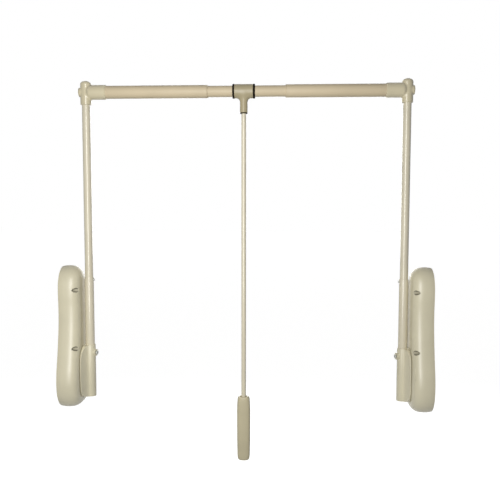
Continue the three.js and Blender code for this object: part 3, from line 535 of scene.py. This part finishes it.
def combine(operation, solid, *tools):
    tool = merged(list(tools))
    modifier = solid.modifiers.new("combine", "BOOLEAN")
    modifier.operation = operation
    modifier.solver = "EXACT"
    modifier.use_self = len(tools) > 1
    modifier.object = tool
    apply_modifiers(solid)
    remove(tool)
    close_up(solid)
    return solid


def join(solid, *tools):
    return combine("UNION", solid, *tools)


def cut(solid, *tools):
    return combine("DIFFERENCE", solid, *tools)


def shared(solid, tool):
    return combine("INTERSECT", solid, tool)


def bevelled(solid, width):
    """Rounds the sharp edges."""
    modifier = solid.modifiers.new("bevel", "BEVEL")
    modifier.width = width * MM
    modifier.segments = BEVEL_STEPS
    modifier.limit_method = "ANGLE"
    modifier.angle_limit = math.radians(BEVEL_ANGLE)
    modifier.use_clamp_overlap = True
    apply_modifiers(solid)
    return solid


def round_post(points, axis, radius, low, high, edge):
    """Signed distance of the points to a cylinder with rounded rims."""
    along = points[:, axis]
    across = np.delete(points, axis, axis=1)
    half = (high - low) / 2
    outside = np.stack([
        np.hypot(across[:, 0], across[:, 1]) - radius + edge,
        np.abs(along - (low + high) / 2) - half + edge,
    ])
    reach = np.hypot(*np.maximum(outside, 0))
    return reach + np.minimum(outside.max(axis=0), 0) - edge


def soft_union(near, far, width):
    """Smallest of two distances, with a fillet of about this width where they meet."""
    share = np.maximum(width - np.abs(near - far), 0) / width
    return np.minimum(near, far) - share ** 2 * width / 4


def blended(solid, at, distance):
    """Meshes a solid evenly and lays its points on the surface where the distance is zero."""
    modifier = solid.modifiers.new("remesh", "REMESH")
    modifier.mode = "VOXEL"
    modifier.voxel_size = BLEND_VOXEL * MM
    apply_modifiers(solid)
    mesh = solid.data
    flat = np.empty(len(mesh.vertices) * 3)
    mesh.vertices.foreach_get("co", flat)
    points = flat.reshape(-1, 3) / MM - np.array(at)
    for _ in range(BLEND_PASSES):
        value = distance(points)
        slope = np.stack([
            (distance(points + SLOPE_STEP * axis) - value) / SLOPE_STEP for axis in np.eye(3)
        ], axis=1)
        points -= slope * (value / np.maximum((slope ** 2).sum(axis=1), LEAST_SLOPE))[:, None]
    mesh.vertices.foreach_set("co", ((points + np.array(at)) * MM).ravel())
    mesh.update()
    return solid


def to_side(solid, side):
    """Carries a solid from the side's own frame to its place, and mirrors it on the right."""
    solid.data.transform(Matrix.Translation((WALL_X * MM, 0, 0)))
    if side == "right":
        solid.data.transform(Matrix.Scale(-1, 4, (1, 0, 0)))
        solid.data.flip_normals()
    return solid


def finish_piece(solid, slot, body, *nodes, finish=None):
    """Shades a piece, gives it the finish, or else its slot's, sets it on the empty of the body
    it rides on, and hides the CAD nodes that it stands for."""
    solid.data.shade_smooth()
    solid.data.set_sharp_from_angle(angle=math.radians(SMOOTH_ANGLE))
    solid.data.materials.clear()
    solid.data.materials.append(MATERIALS[finish or slot])
    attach(solid, body)
    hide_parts(*nodes)


# Outline of the housings

def curve_through(points, steps):
    """A closed centripetal Catmull-Rom curve through the points."""
    count = len(points)
    result = []
    for i in range(count):
        p0, p1, p2, p3 = (Vector(points[(i + k) % count]) for k in (-1, 0, 1, 2))
        d0, d1, d2 = (math.sqrt((b - a).length) for a, b in ((p0, p1), (p1, p2), (p2, p3)))
        start = ((p1 - p0) / d0 - (p2 - p0) / (d0 + d1) + (p2 - p1) / d1) * d1
        end = ((p2 - p1) / d1 - (p3 - p1) / (d1 + d2) + (p3 - p2) / d2) * d1
        for k in range(steps):
            t = k / steps
            result.append(
                p1 + start * t + (3 * (p2 - p1) - 2 * start - end) * t ** 2
                + (2 * (p1 - p2) + start + end) * t ** 3
            )
    return result


def make_outline():
    """The housing's outline seen from the side, in y and z."""
    rear = []
    for depth, height in OUTLINE_SHARES:
        reach = COVER_BOTTOM if height < 0 else COVER_TOP
        rear.append((depth * COVER_HALF_DEPTH, height * reach))
    front = [(-depth, height) for depth, height in reversed(rear[1:-1])]
    return curve_through(rear + front, OUTLINE_STEPS)


OUTLINE = make_outline()
SPINE_TOP = COVER_TOP - COVER_HALF_DEPTH * HEAD_SHARE


def drawn_in(distance):
    """The outline moved inwards, towards the line down the housing's middle."""
    result = []
    for point in OUTLINE:
        level = min(max(point.y, 0), SPINE_TOP)
        inwards = Vector((-point.x, level - point.y)).normalized()
        result.append(point + inwards * distance)
    return result


def half_depth_at(height):
    """The outline's half depth at a height."""
    rear = sorted((p for p in OUTLINE if p.x > 0), key=lambda p: p.y)
    above = next(i for i, p in enumerate(rear) if p.y >= height)
    low, high = rear[above - 1], rear[above]
    return low.x + (high.x - low.x) * (height - low.y) / (high.y - low.y)


def cover_ring(x, distance):
    return [(x, point.x, point.y) for point in drawn_in(distance)]


def cover_body(name, start, inset):
    """The cover as a full body, drawn in all over by the inset: a flank and a domed crown."""
    rise = COVER_THICKNESS - inset - COVER_FLANK
    rings = []
    for k in range(FLANK_STEPS):
        x = start + (COVER_FLANK - start) * k / FLANK_STEPS
        rings.append(cover_ring(x, inset + COVER_EDGE_DRAW * (1 - x / COVER_FLANK) ** 2))
    for angle in quarter_turn():
        level = math.sin(angle) ** (2 / CROWN_FULLNESS)
        drawn = inset + CROWN_DEPTH * (1 - math.cos(angle) ** (2 / CROWN_FULLNESS))
        rings.append(cover_ring(COVER_FLANK + rise * level, drawn))
    return loft(name, rings)


def pocket_places():
    """Middles of the screw pockets, first the front one at each height, then the rear one."""
    places = []
    for height in POCKET_HEIGHTS:
        depth = half_depth_at(height) - POCKET_EDGE
        places.append((0, -depth, height))
        places.append((0, depth, height))
    return places


def paint_pocket_shade(cover):
    """Says on each face inside the screw pockets how much shade the material paints there, most
    on the upper and lower walls.
    """
    marks = cover.data.attributes.new(POCKET_SHADE_ATTRIBUTE, "FLOAT", "FACE")
    reach = (POCKET_RADIUS + CLEARANCE) * MM
    places = pocket_places()
    for face, mark in zip(cover.data.polygons, marks.data):
        for _, depth, height in places:
            away = math.hypot(face.center.y - depth * MM, face.center.z - height * MM)
            if away < reach:
                mark.value = POCKET_SHADE_LEAST + (1 - POCKET_SHADE_LEAST) * abs(face.normal.z)


# Pieces of a side

def make_cover(side):
    """A domed shell with four screw pockets and the hole for the axle."""
    cover = cover_body(f"{side}_cover_fine", 0, 0)
    cover = cut(cover, cover_body("inside", -OVERRUN, COVER_WALL))
    well, base = POCKET_RADIUS + POCKET_WALL, POCKET_FLOOR - POCKET_BASE
    wells = [rod("boss", "x", place, well, base, COVER_THICKNESS) for place in pocket_places()]
    cover = join(cover, shared(merged(wells), cover_body("limit", 0, 0)))
    end = COVER_THICKNESS + OVERRUN
    holes = [rod("eye", "x", (0, 0, 0), COVER_HOLE_RADIUS, COVER_FLANK, end)]
    for place in pocket_places():
        holes.append(rod("pocket", "x", place, POCKET_RADIUS, POCKET_FLOOR, end, FINE_EDGE))
        holes.append(rod("way", "x", place, SCREW_RADIUS + CLEARANCE, 0, POCKET_FLOOR + OVERRUN))
    cover = cut(cover, *holes)
    # paints shade onto the walls of the screw pockets
    paint_pocket_shade(cover)
    finish_piece(to_side(cover, side), "moulding", f"{side}_housing", f"{side}_cover")


def cross_recess(at, seat, angle):
    """The tools that cut a cross into a screw head that faces +x."""
    length, width, depth = SCREW_CROSS
    bars = []
    for turn in (angle, angle + 90):
        across = math.radians(turn)
        along = Vector((math.cos(across), math.sin(across))) * length / 2
        wide = Vector((-math.sin(across), math.cos(across))) * width / 2
        corners = [along + wide, wide - along, -along - wide, along - wide]
        outline = [(at[1] + c.x, at[2] + c.y) for c in corners]
        bars.append(prism("bar", "x", outline, seat - depth, seat + OVERRUN))
    return bars


def make_cover_screws(side):
    """Screws in the two front pockets."""
    seat = POCKET_FLOOR + CLEARANCE
    top = seat + SCREW_HEAD_HEIGHT
    profile = [
        (0, SCREW_TIP), (SCREW_RADIUS, SCREW_TIP), (SCREW_RADIUS, seat),
        (SCREW_HEAD_RADIUS, seat), (SCREW_HEAD_RADIUS, seat + SCREW_HEAD_HEIGHT / 2),
        (SCREW_HEAD_RADIUS * SCREW_CROWN_SHARE, top), (0, top),
    ]
    for place, name in zip(pocket_places()[::2], ("low", "high")):
        node = f"{side}_cover_screw_{name}"
        screw = turned(f"{node}_fine", "x", place, rounded(profile, SOFT_EDGE), SMALL_ROUND_STEPS)
        screw = cut(screw, *cross_recess(place, top, SCREW_TURN))
        finish_piece(to_side(screw, side), "zinc_steel", f"{side}_housing", node)


def shoe_plan():
    """Plan of the shoe, in x and y: a plate along the housing, drawn in to the arm's sleeve."""
    start = Vector((SHOE_BACK + SHOE_PLATE_EDGE, -SHOE_HALF_DEPTH))
    bend = Vector((SHOE_BACK + SHOE_WEB_BEND, -SHOE_SLEEVE - SHOE_WEB_RISE))
    meet = Vector((ARM_X, -SHOE_SLEEVE))
    front = []
    for k in range(WEB_STEPS):
        t = k / WEB_STEPS
        front.append(start * (1 - t) ** 2 + bend * 2 * t * (1 - t) + meet * t ** 2)
    arc = []
    for k in range(2 * WEB_STEPS + 1):
        angle = math.pi * (k / (2 * WEB_STEPS) - 0.5)
        across, away = math.cos(angle), math.sin(angle)
        arc.append(Vector((ARM_X + SHOE_SLEEVE * across, SHOE_SLEEVE * away)))
    rear = [Vector((p.x, -p.y)) for p in reversed(front)]
    back = [Vector((SHOE_BACK, SHOE_HALF_DEPTH)), Vector((SHOE_BACK, -SHOE_HALF_DEPTH))]
    return front + arc + rear + back


def shoe_outline():
    """Side outline of the shoe, in y and z."""
    rear = []
    for depth, height in SHOE_OUTLINE_SHARES:
        reach = SHOE_BOTTOM if height < 0 else SHOE_TOP
        rear.append((depth * SHOE_HALF_DEPTH, height * reach))
    rear.append((SHOE_SLEEVE, SHOE_TOP))
    front = [(-depth, height) for depth, height in reversed(rear[1:])]
    whole = curve_through(rear + front, OUTLINE_STEPS)
    return [point for point in whole if point.y <= SHOE_TOP]


def along_clamp(solid):
    """Turns a solid drawn along x to where the clamp screw points, and sets it on the arm."""
    turn = Matrix.Rotation(-math.radians(CLAMP_ANGLE), 4, "Z")
    solid.data.transform(Matrix.Translation((ARM_X * MM, 0, CLAMP_LEVEL * MM)) @ turn)
    return solid


def make_shoe(side):
    """The plate on the housing with the socket for the arm, and a boss for the clamp screw."""
    top = SHOE_TOP + OVERRUN
    shoe = prism(f"{side}_arm_shoe_fine", "z", shoe_plan(), -SHOE_BOTTOM - OVERRUN, top)
    inside = ARM_X + SLEEVE_RADIUS + OVERRUN
    shoe = shared(shoe, prism("outline", "x", shoe_outline(), SHOE_BACK - OVERRUN, inside))
    boss = rod("boss", "x", (0, 0, 0), CLAMP_BOSS_RADIUS, 0, CLAMP_BOSS_REACH)
    shoe = join(shoe, along_clamp(boss))
    bore = rod(
        "bore", "z", (ARM_X, 0, 0), SHOE_BORE, SHOE_SOCKET_FLOOR, top, steps=ROUND_STEPS)
    way = rod(
        "way", "x", (0, 0, 0), CLAMP_SCREW_RADIUS + CLEARANCE, 0, CLAMP_BOSS_REACH + OVERRUN)
    shoe = cut(shoe, bore, along_clamp(way))
    shoe = bevelled(shoe, SHOE_EDGE)
    finish_piece(to_side(shoe, side), "moulding", f"{side}_arm", f"{side}_arm_shoe")


def make_clamp_screw(side):
    seat = CLAMP_BOSS_REACH + CLEARANCE
    top = seat + CLAMP_HEAD_HEIGHT
    profile = [
        (0, SLEEVE_BORE), (CLAMP_SCREW_RADIUS, SLEEVE_BORE), (CLAMP_SCREW_RADIUS, seat),
        (CLAMP_HEAD_RADIUS, seat), (CLAMP_HEAD_RADIUS, top), (0, top),
    ]
    screw = turned(
        f"{side}_clamp_screw_fine", "x", (0, 0, 0), rounded(profile, CLAMP_HEAD_EDGE),
        SMALL_ROUND_STEPS)
    screw = cut(screw, *cross_recess((0, 0, 0), top, CLAMP_TURN))
    screw = along_clamp(screw)
    finish_piece(to_side(screw, side), "zinc_steel", f"{side}_arm", f"{side}_clamp_screw")


def make_arm(side):
    """Two tubes, one in the other, and the snap pin through both."""
    tubes = {
        "lower": (SLEEVE_RADIUS, SLEEVE_BORE, LOWER_LOW.z, LOWER_HIGH.z),
        "upper": (ARM_RADIUS, ARM_BORE, UPPER_LOW.z, UPPER_HIGH.z),
    }
    pin_place = (ARM_X, 0, PIN_LEVEL)
    for name, sizes in tubes.items():
        node = f"{side}_arm_{name}_tube"
        tube = pipe(f"{node}_fine", "z", (ARM_X, 0, 0), *sizes)
        tube = cut(
            tube, rod("way", "x", pin_place, PIN_RADIUS + CLEARANCE, 0, SLEEVE_RADIUS + OVERRUN))
        finish_piece(to_side(tube, side), "arm_paint", f"{side}_arm", node)
    head = math.sqrt(ARM_BORE ** 2 - PIN_HEAD_RADIUS ** 2) - 2 * CLEARANCE
    nose = SLEEVE_RADIUS + PIN_NOSE
    profile = [
        (0, head - PIN_HEAD_HEIGHT), (PIN_HEAD_RADIUS, head - PIN_HEAD_HEIGHT),
        (PIN_HEAD_RADIUS, head), (PIN_RADIUS, head), (PIN_RADIUS, nose), (0, nose),
    ]
    pin = turned(
        f"{side}_arm_pin_fine", "x", pin_place, rounded(profile, PIN_EDGE), SMALL_ROUND_STEPS)
    finish_piece(to_side(pin, side), "zinc_steel", f"{side}_arm", f"{side}_arm_pin")


def make_corner_fitting(side):
    """Upright sleeve with a domed top, a level socket for the bar and a hub for the cap."""
    arm = (ARM_X, 0, BAR_Z)
    low = CORNER_LOW.z - BAR_Z
    high = CORNER_HIGH.z - BAR_Z
    socket_end = CORNER_HIGH.x - WALL_X - ARM_X
    hub_face = WALL_X + ARM_X - CORNER_LOW.x
    shoulder = high - CORNER_DOME

    def distance(points):
        level = points[:, 2] - shoulder
        dome = np.stack([
            points[:, 0] / CORNER_RADIUS, points[:, 1] / CORNER_RADIUS,
            np.maximum(level, 0) / CORNER_DOME])
        top = (np.sqrt((dome ** 2).sum(axis=0)) - 1) * CORNER_DOME
        foot = round_post(points, 2, CORNER_RADIUS, low, high + CORNER_DOME, CORNER_EDGE)
        post = np.where(level > 0, top, foot)
        shell = round_post(
            points, 0, SOCKET_RADIUS, SOCKET_START, 2 * socket_end, SOCKET_SHOULDER)
        mouth = round_post(points, 0, SOCKET_RADIUS, -socket_end, socket_end, CORNER_EDGE)
        socket = np.maximum(shell, mouth)
        hub = round_post(points, 0, HUB_RADIUS, -hub_face, 0, SOFT_EDGE)
        return soft_union(soft_union(post, socket, SOCKET_BLEND), hub, HUB_BLEND)

    post = [(0, low), (CORNER_RADIUS, low)]
    for angle in quarter_turn():
        post.append((CORNER_RADIUS * math.cos(angle), shoulder + CORNER_DOME * math.sin(angle)))
    fitting = join(
        turned(f"{side}_corner_fitting_fine", "z", arm, post),
        rod("socket", "x", arm, SOCKET_RADIUS, SOCKET_START, socket_end, SOCKET_SHOULDER,
            ROUND_STEPS),
        rod("hub", "x", arm, HUB_RADIUS, -hub_face, 0, steps=ROUND_STEPS),
    )
    fitting = blended(fitting, arm, distance)
    fitting = cut(
        fitting,
        rod("bore", "z", arm, ARM_RADIUS + CLEARANCE, low - OVERRUN, shoulder - OVERRUN),
        rod("mouth", "x", arm, BAR_RADIUS + CLEARANCE, SOCKET_FLOOR, socket_end + OVERRUN),
        rod("recess", "x", arm, HUB_RECESS_RADIUS, -hub_face - OVERRUN,
            HUB_RECESS_DEPTH - hub_face),
    )
    node = f"{side}_corner_fitting"
    finish_piece(to_side(fitting, side), "moulding", f"{side}_arm", node, finish="corner")


def make_corner_cap(side):
    """A domed cap with a skirt that stands in the hub."""
    low, high = box_mm("left_corner_cap")
    face = WALL_X + ARM_X - high.x + CAP_SKIRT_DEPTH
    crown = WALL_X + ARM_X - low.x
    skirt = HUB_RECESS_RADIUS - CLEARANCE
    dome = []
    for angle in quarter_turn():
        rise = CAP_RIM_SHARE + (1 - CAP_RIM_SHARE) * math.sin(angle)
        dome.append((HUB_RADIUS * math.cos(angle), -face - (crown - face) * rise))
    profile = [
        (0, -face), (skirt - CAP_SKIRT, -face), (skirt - CAP_SKIRT, CAP_SKIRT_DEPTH - face),
        (skirt, CAP_SKIRT_DEPTH - face), (skirt, -face), (HUB_RADIUS, -face), *dome,
    ]
    cap = turned(f"{side}_corner_cap_fine", "x", (ARM_X, 0, BAR_Z), profile)
    node = f"{side}_corner_cap"
    finish_piece(to_side(cap, side), "moulding", f"{side}_arm", node, finish="corner")


def make_bar_side(side):
    """Outer tube of the bar and the liner in its mouth."""
    low, high = box_mm(f"{side}_bar_tube")
    sign = 1 if side == "left" else -1
    tube = pipe(
        f"{side}_bar_tube_fine", "x", (0, 0, BAR_Z), BAR_RADIUS, BAR_RADIUS - BAR_WALL,
        low.x, high.x)
    finish_piece(tube, "tube_paint", f"{side}_arm", f"{side}_bar_tube")
    low, high = box_mm(f"{side}_bar_liner")
    mouth, inner_end = (high.x, low.x) if side == "left" else (low.x, high.x)
    sleeve = SLIDING_BORE + LINER_WALL
    lip = mouth - sign * (LINER_LIP - CLEARANCE)
    profile = [
        (SLIDING_BORE, inner_end), (sleeve, inner_end), (sleeve, lip), (BAR_RADIUS, lip),
        (BAR_RADIUS, mouth), (SLIDING_BORE, mouth),
    ]
    liner = turned(
        f"{side}_bar_liner_fine", "x", (0, 0, BAR_Z), rounded(profile, LINER_EDGE, closed=True))
    finish_piece(liner, "tube_paint", f"{side}_arm", f"{side}_bar_liner")


# Middle of the bar

def make_middle_tube():
    tube = pipe(
        "middle_tube_fine", "x", (0, 0, BAR_Z), MIDDLE_RADIUS, MIDDLE_RADIUS - MIDDLE_WALL,
        MIDDLE_LOW.x, MIDDLE_HIGH.x)
    finish_piece(tube, "tube_paint", "centre_bar", "middle_tube")


def make_stop_rings():
    """A ring at each end of the tee, rounded at its outer rim."""
    for side in SIDES:
        low, high = box_mm(f"{side}_stop_ring")
        near, far = (high.x, low.x) if side == "left" else (low.x, high.x)
        bore = MIDDLE_RADIUS + CLEARANCE
        outer = high.y
        sign = 1 if side == "right" else -1
        profile = [(bore, near), (outer, near)]
        for angle in quarter_turn():
            profile.append((
                outer - RING_ROUNDING * (1 - math.cos(angle)),
                far - sign * RING_ROUNDING * (1 - math.sin(angle)),
            ))
        profile.append((bore, far))
        ring = turned(f"{side}_stop_ring_fine", "x", (0, 0, BAR_Z), profile)
        finish_piece(ring, "black_rubber", "centre_bar", f"{side}_stop_ring")


def make_tee():
    """The barrel on the bar with its stem, and the flanged bush in the stem's end; the bush's
    black partly paints the shade there.
    """
    at = (TEE_X, 0, BAR_Z)
    half = (TEE_HIGH.x - TEE_LOW.x) / 2
    stem_end = TEE_LOW.z - BAR_Z

    def distance(points):
        barrel = round_post(points, 0, TEE_RADIUS, -half, half, SOFT_EDGE)
        stem = round_post(points, 2, STEM_RADIUS, stem_end, 0, SOFT_EDGE)
        return soft_union(barrel, stem, STEM_BLEND)

    tee = join(
        rod("tee_fine", "x", at, TEE_RADIUS, -half, half, steps=ROUND_STEPS),
        rod("stem", "z", at, STEM_RADIUS, stem_end, 0, steps=ROUND_STEPS),
    )
    tee = blended(tee, at, distance)
    way = ROD_RADIUS + CLEARANCE
    top = stem_end + STEM_BUSH_LENGTH
    start, end = -half - OVERRUN, half + OVERRUN
    tee = cut(
        tee,
        rod("bore", "x", at, SLIDING_BORE, start, end, steps=ROUND_STEPS),
        rod("way", "z", at, way, stem_end - OVERRUN, 0),
        rod("seat", "z", at, STEM_BUSH_RADIUS + CLEARANCE, stem_end - OVERRUN, top + CLEARANCE),
    )
    finish_piece(tee, "fitting_moulding", "pull_handle", "tee", finish="tee")
    flange = stem_end - CLEARANCE
    bottom = flange - STEM_FLANGE_HEIGHT
    profile = [
        (way, bottom), (STEM_FLANGE_RADIUS, bottom), (STEM_FLANGE_RADIUS, flange),
        (STEM_BUSH_RADIUS, flange), (STEM_BUSH_RADIUS, top), (way, top),
    ]
    # the bush's black rubber also stands in for painted shade under the stem's end
    bush = turned("stem_bush_fine", "z", at, rounded(profile, FINE_EDGE, closed=True))
    finish_piece(bush, "black_rubber", "pull_handle", "stem_bush")


def make_pull_rod():
    pull = rod(
        "pull_rod_fine", "z", (TEE_X, 0, 0), ROD_RADIUS, ROD_LOW.z, ROD_HIGH.z, FINE_EDGE,
        ROUND_STEPS)
    finish_piece(pull, "arm_paint", "pull_handle", "pull_rod")


def grip_ring(height, share):
    """Section of the grip at a height: an ellipse squared off by its exponent."""
    half_width = (GRIP_HIGH.x - GRIP_LOW.x) / 2
    half_depth = GRIP_HIGH.y
    power = 2 / GRIP_ROUNDNESS
    ring = []
    for i in range(GRIP_STEPS):
        angle = 2 * math.pi * i / GRIP_STEPS
        across, away = math.cos(angle), math.sin(angle)
        ring.append((
            TEE_X + half_width * share * math.copysign(abs(across) ** power, across),
            half_depth * share * math.copysign(abs(away) ** power, away),
            height,
        ))
    return ring


def make_grip():
    """A slim handle with a hollow at its top, where the pull rod goes in."""
    length = GRIP_HIGH.z - GRIP_LOW.z
    rings = [grip_ring(GRIP_HIGH.z - length * along, share) for along, share in GRIP_SHARES]
    grip = loft("grip_fine", rings)
    at = (TEE_X, 0, GRIP_HIGH.z)
    bore = ROD_RADIUS + CLEARANCE
    recess = [
        (0, -GRIP_SOCKET_DEPTH), (bore, -GRIP_SOCKET_DEPTH), (bore, -GRIP_RECESS_DEPTH),
        (GRIP_RECESS_RADIUS, 0), (GRIP_RECESS_RADIUS, OVERRUN), (0, OVERRUN),
    ]
    grip = cut(grip, turned("recess", "z", at, recess))
    finish_piece(grip, "fitting_moulding", "pull_handle", "grip")


def dress_cad_nodes():
    """Gives each CAD node the finish of its own slot; the detailed pieces replace some later."""
    for part in frame["record"]["subparts"]:
        node = frame["nodes"][part["node"]]
        node.data.materials.clear()
        node.data.materials.append(MATERIALS[part["material_slot"]])


# Stage, lamps and camera

def background_share(tree):
    """1 for rays from the camera, off gloss or through glass, which see the plain background."""
    path = tree.nodes.new("ShaderNodeLightPath")
    total = path.outputs["Is Camera Ray"]
    for name in ("Is Glossy Ray", "Is Transmission Ray"):
        add = tree.nodes.new("ShaderNodeMath")
        add.operation = "MAXIMUM"
        tree.links.new(total, add.inputs[0])
        tree.links.new(path.outputs[name], add.inputs[1])
        total = add.outputs[0]
    return total


def make_world():
    """White to the camera, gloss and glass, and a faint light on everything."""
    world = bpy.data.worlds.new("white_surroundings")
    bpy.context.scene.world = world
    world.use_nodes = True
    tree = world.node_tree
    background = tree.nodes["Background"]
    background.inputs["Color"].default_value = (1, 1, 1, 1)
    strength = tree.nodes.new("ShaderNodeMapRange")
    strength.inputs["To Min"].default_value = AMBIENT
    strength.inputs["To Max"].default_value = 1
    tree.links.new(background_share(tree), strength.inputs["Value"])
    tree.links.new(strength.outputs["Result"], background.inputs["Strength"])


def make_floor():
    """A plain pale floor that looks white to the camera and keeps the shadow."""
    half = FLOOR_SIDE / 2
    level = cad_box[0][2] - FLOOR_DROP
    mesh = bpy.data.meshes.new("floor")
    corners = [
        (-half, -half, level), (half, -half, level), (half, half, level), (-half, half, level),
    ]
    mesh.from_pydata(corners, [], [(0, 1, 2, 3)])
    floor = bpy.data.objects.new("floor", mesh)
    bpy.context.scene.collection.objects.link(floor)
    material = bpy.data.materials.new("pale_floor")
    material.use_nodes = True
    tree = material.node_tree
    shader = tree.nodes["Principled BSDF"]
    shader.inputs["Base Color"].default_value = (*FLOOR_COLOUR, 1)
    shader.inputs["Roughness"].default_value = FLOOR_ROUGHNESS
    shader.inputs["Specular IOR Level"].default_value = FLOOR_SPECULAR
    shader.inputs["Emission Color"].default_value = (1, 1, 1, 1)
    lift = tree.nodes.new("ShaderNodeMapRange")
    lift.inputs["To Min"].default_value = 0
    lift.inputs["To Max"].default_value = FLOOR_LIFT
    tree.links.new(background_share(tree), lift.inputs["Value"])
    tree.links.new(lift.outputs["Result"], shader.inputs["Emission Strength"])
    mesh.materials.append(material)
    floor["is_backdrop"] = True


def make_lamps():
    """Soft lamps that light a white surface, square on at the aim, to their brightness."""
    for name, (place, width, height, brightness) in LAMPS.items():
        direction = Vector(place) - Vector(LAMP_AIM)
        lamp = bpy.data.lights.new(name, "AREA")
        lamp.shape = "RECTANGLE"
        lamp.size = width
        lamp.size_y = height
        lamp.energy = brightness * math.pi ** 2 * direction.length_squared
        holder = bpy.data.objects.new(name, lamp)
        holder.location = place
        holder.rotation_euler = direction.to_track_quat("Z", "Y").to_euler()
        holder.visible_camera = False
        bpy.context.scene.collection.objects.link(holder)


def make_camera():
    camera = bpy.data.cameras.new("camera")
    camera.sensor_width = SENSOR_WIDTH
    camera.lens = SENSOR_WIDTH * FOCAL_PIXELS / IMAGE_SIDE
    camera.clip_end = CLIP_END
    holder = bpy.data.objects.new("camera", camera)
    holder.location = Vector(CAMERA_PLACE) * MM
    upright = Matrix.Rotation(math.radians(CAMERA_YAW), 3, "Z")
    level = Matrix.Rotation(math.radians(90 - CAMERA_PITCH), 3, "X")
    roll = Matrix.Rotation(math.radians(CAMERA_ROLL), 3, "Z")
    holder.rotation_euler = (upright @ level @ roll).to_euler()
    bpy.context.scene.collection.objects.link(holder)
    bpy.context.scene.camera = holder


bpy.context.scene.view_settings.view_transform = "Standard"
make_camera()
make_world()
make_floor()
make_lamps()
dress_cad_nodes()
for side_name in SIDES:
    make_cover(side_name)
    make_cover_screws(side_name)
    make_shoe(side_name)
    make_clamp_screw(side_name)
    make_arm(side_name)
    make_corner_fitting(side_name)
    make_corner_cap(side_name)
    make_bar_side(side_name)
make_middle_tube()
make_stop_rings()
make_tee()
make_pull_rod()
make_grip()

boxes = {"cad": cad_box, "visual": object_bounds()}
plain = {name: [[round(c, 5) for c in corner] for corner in box] for name, box in boxes.items()}
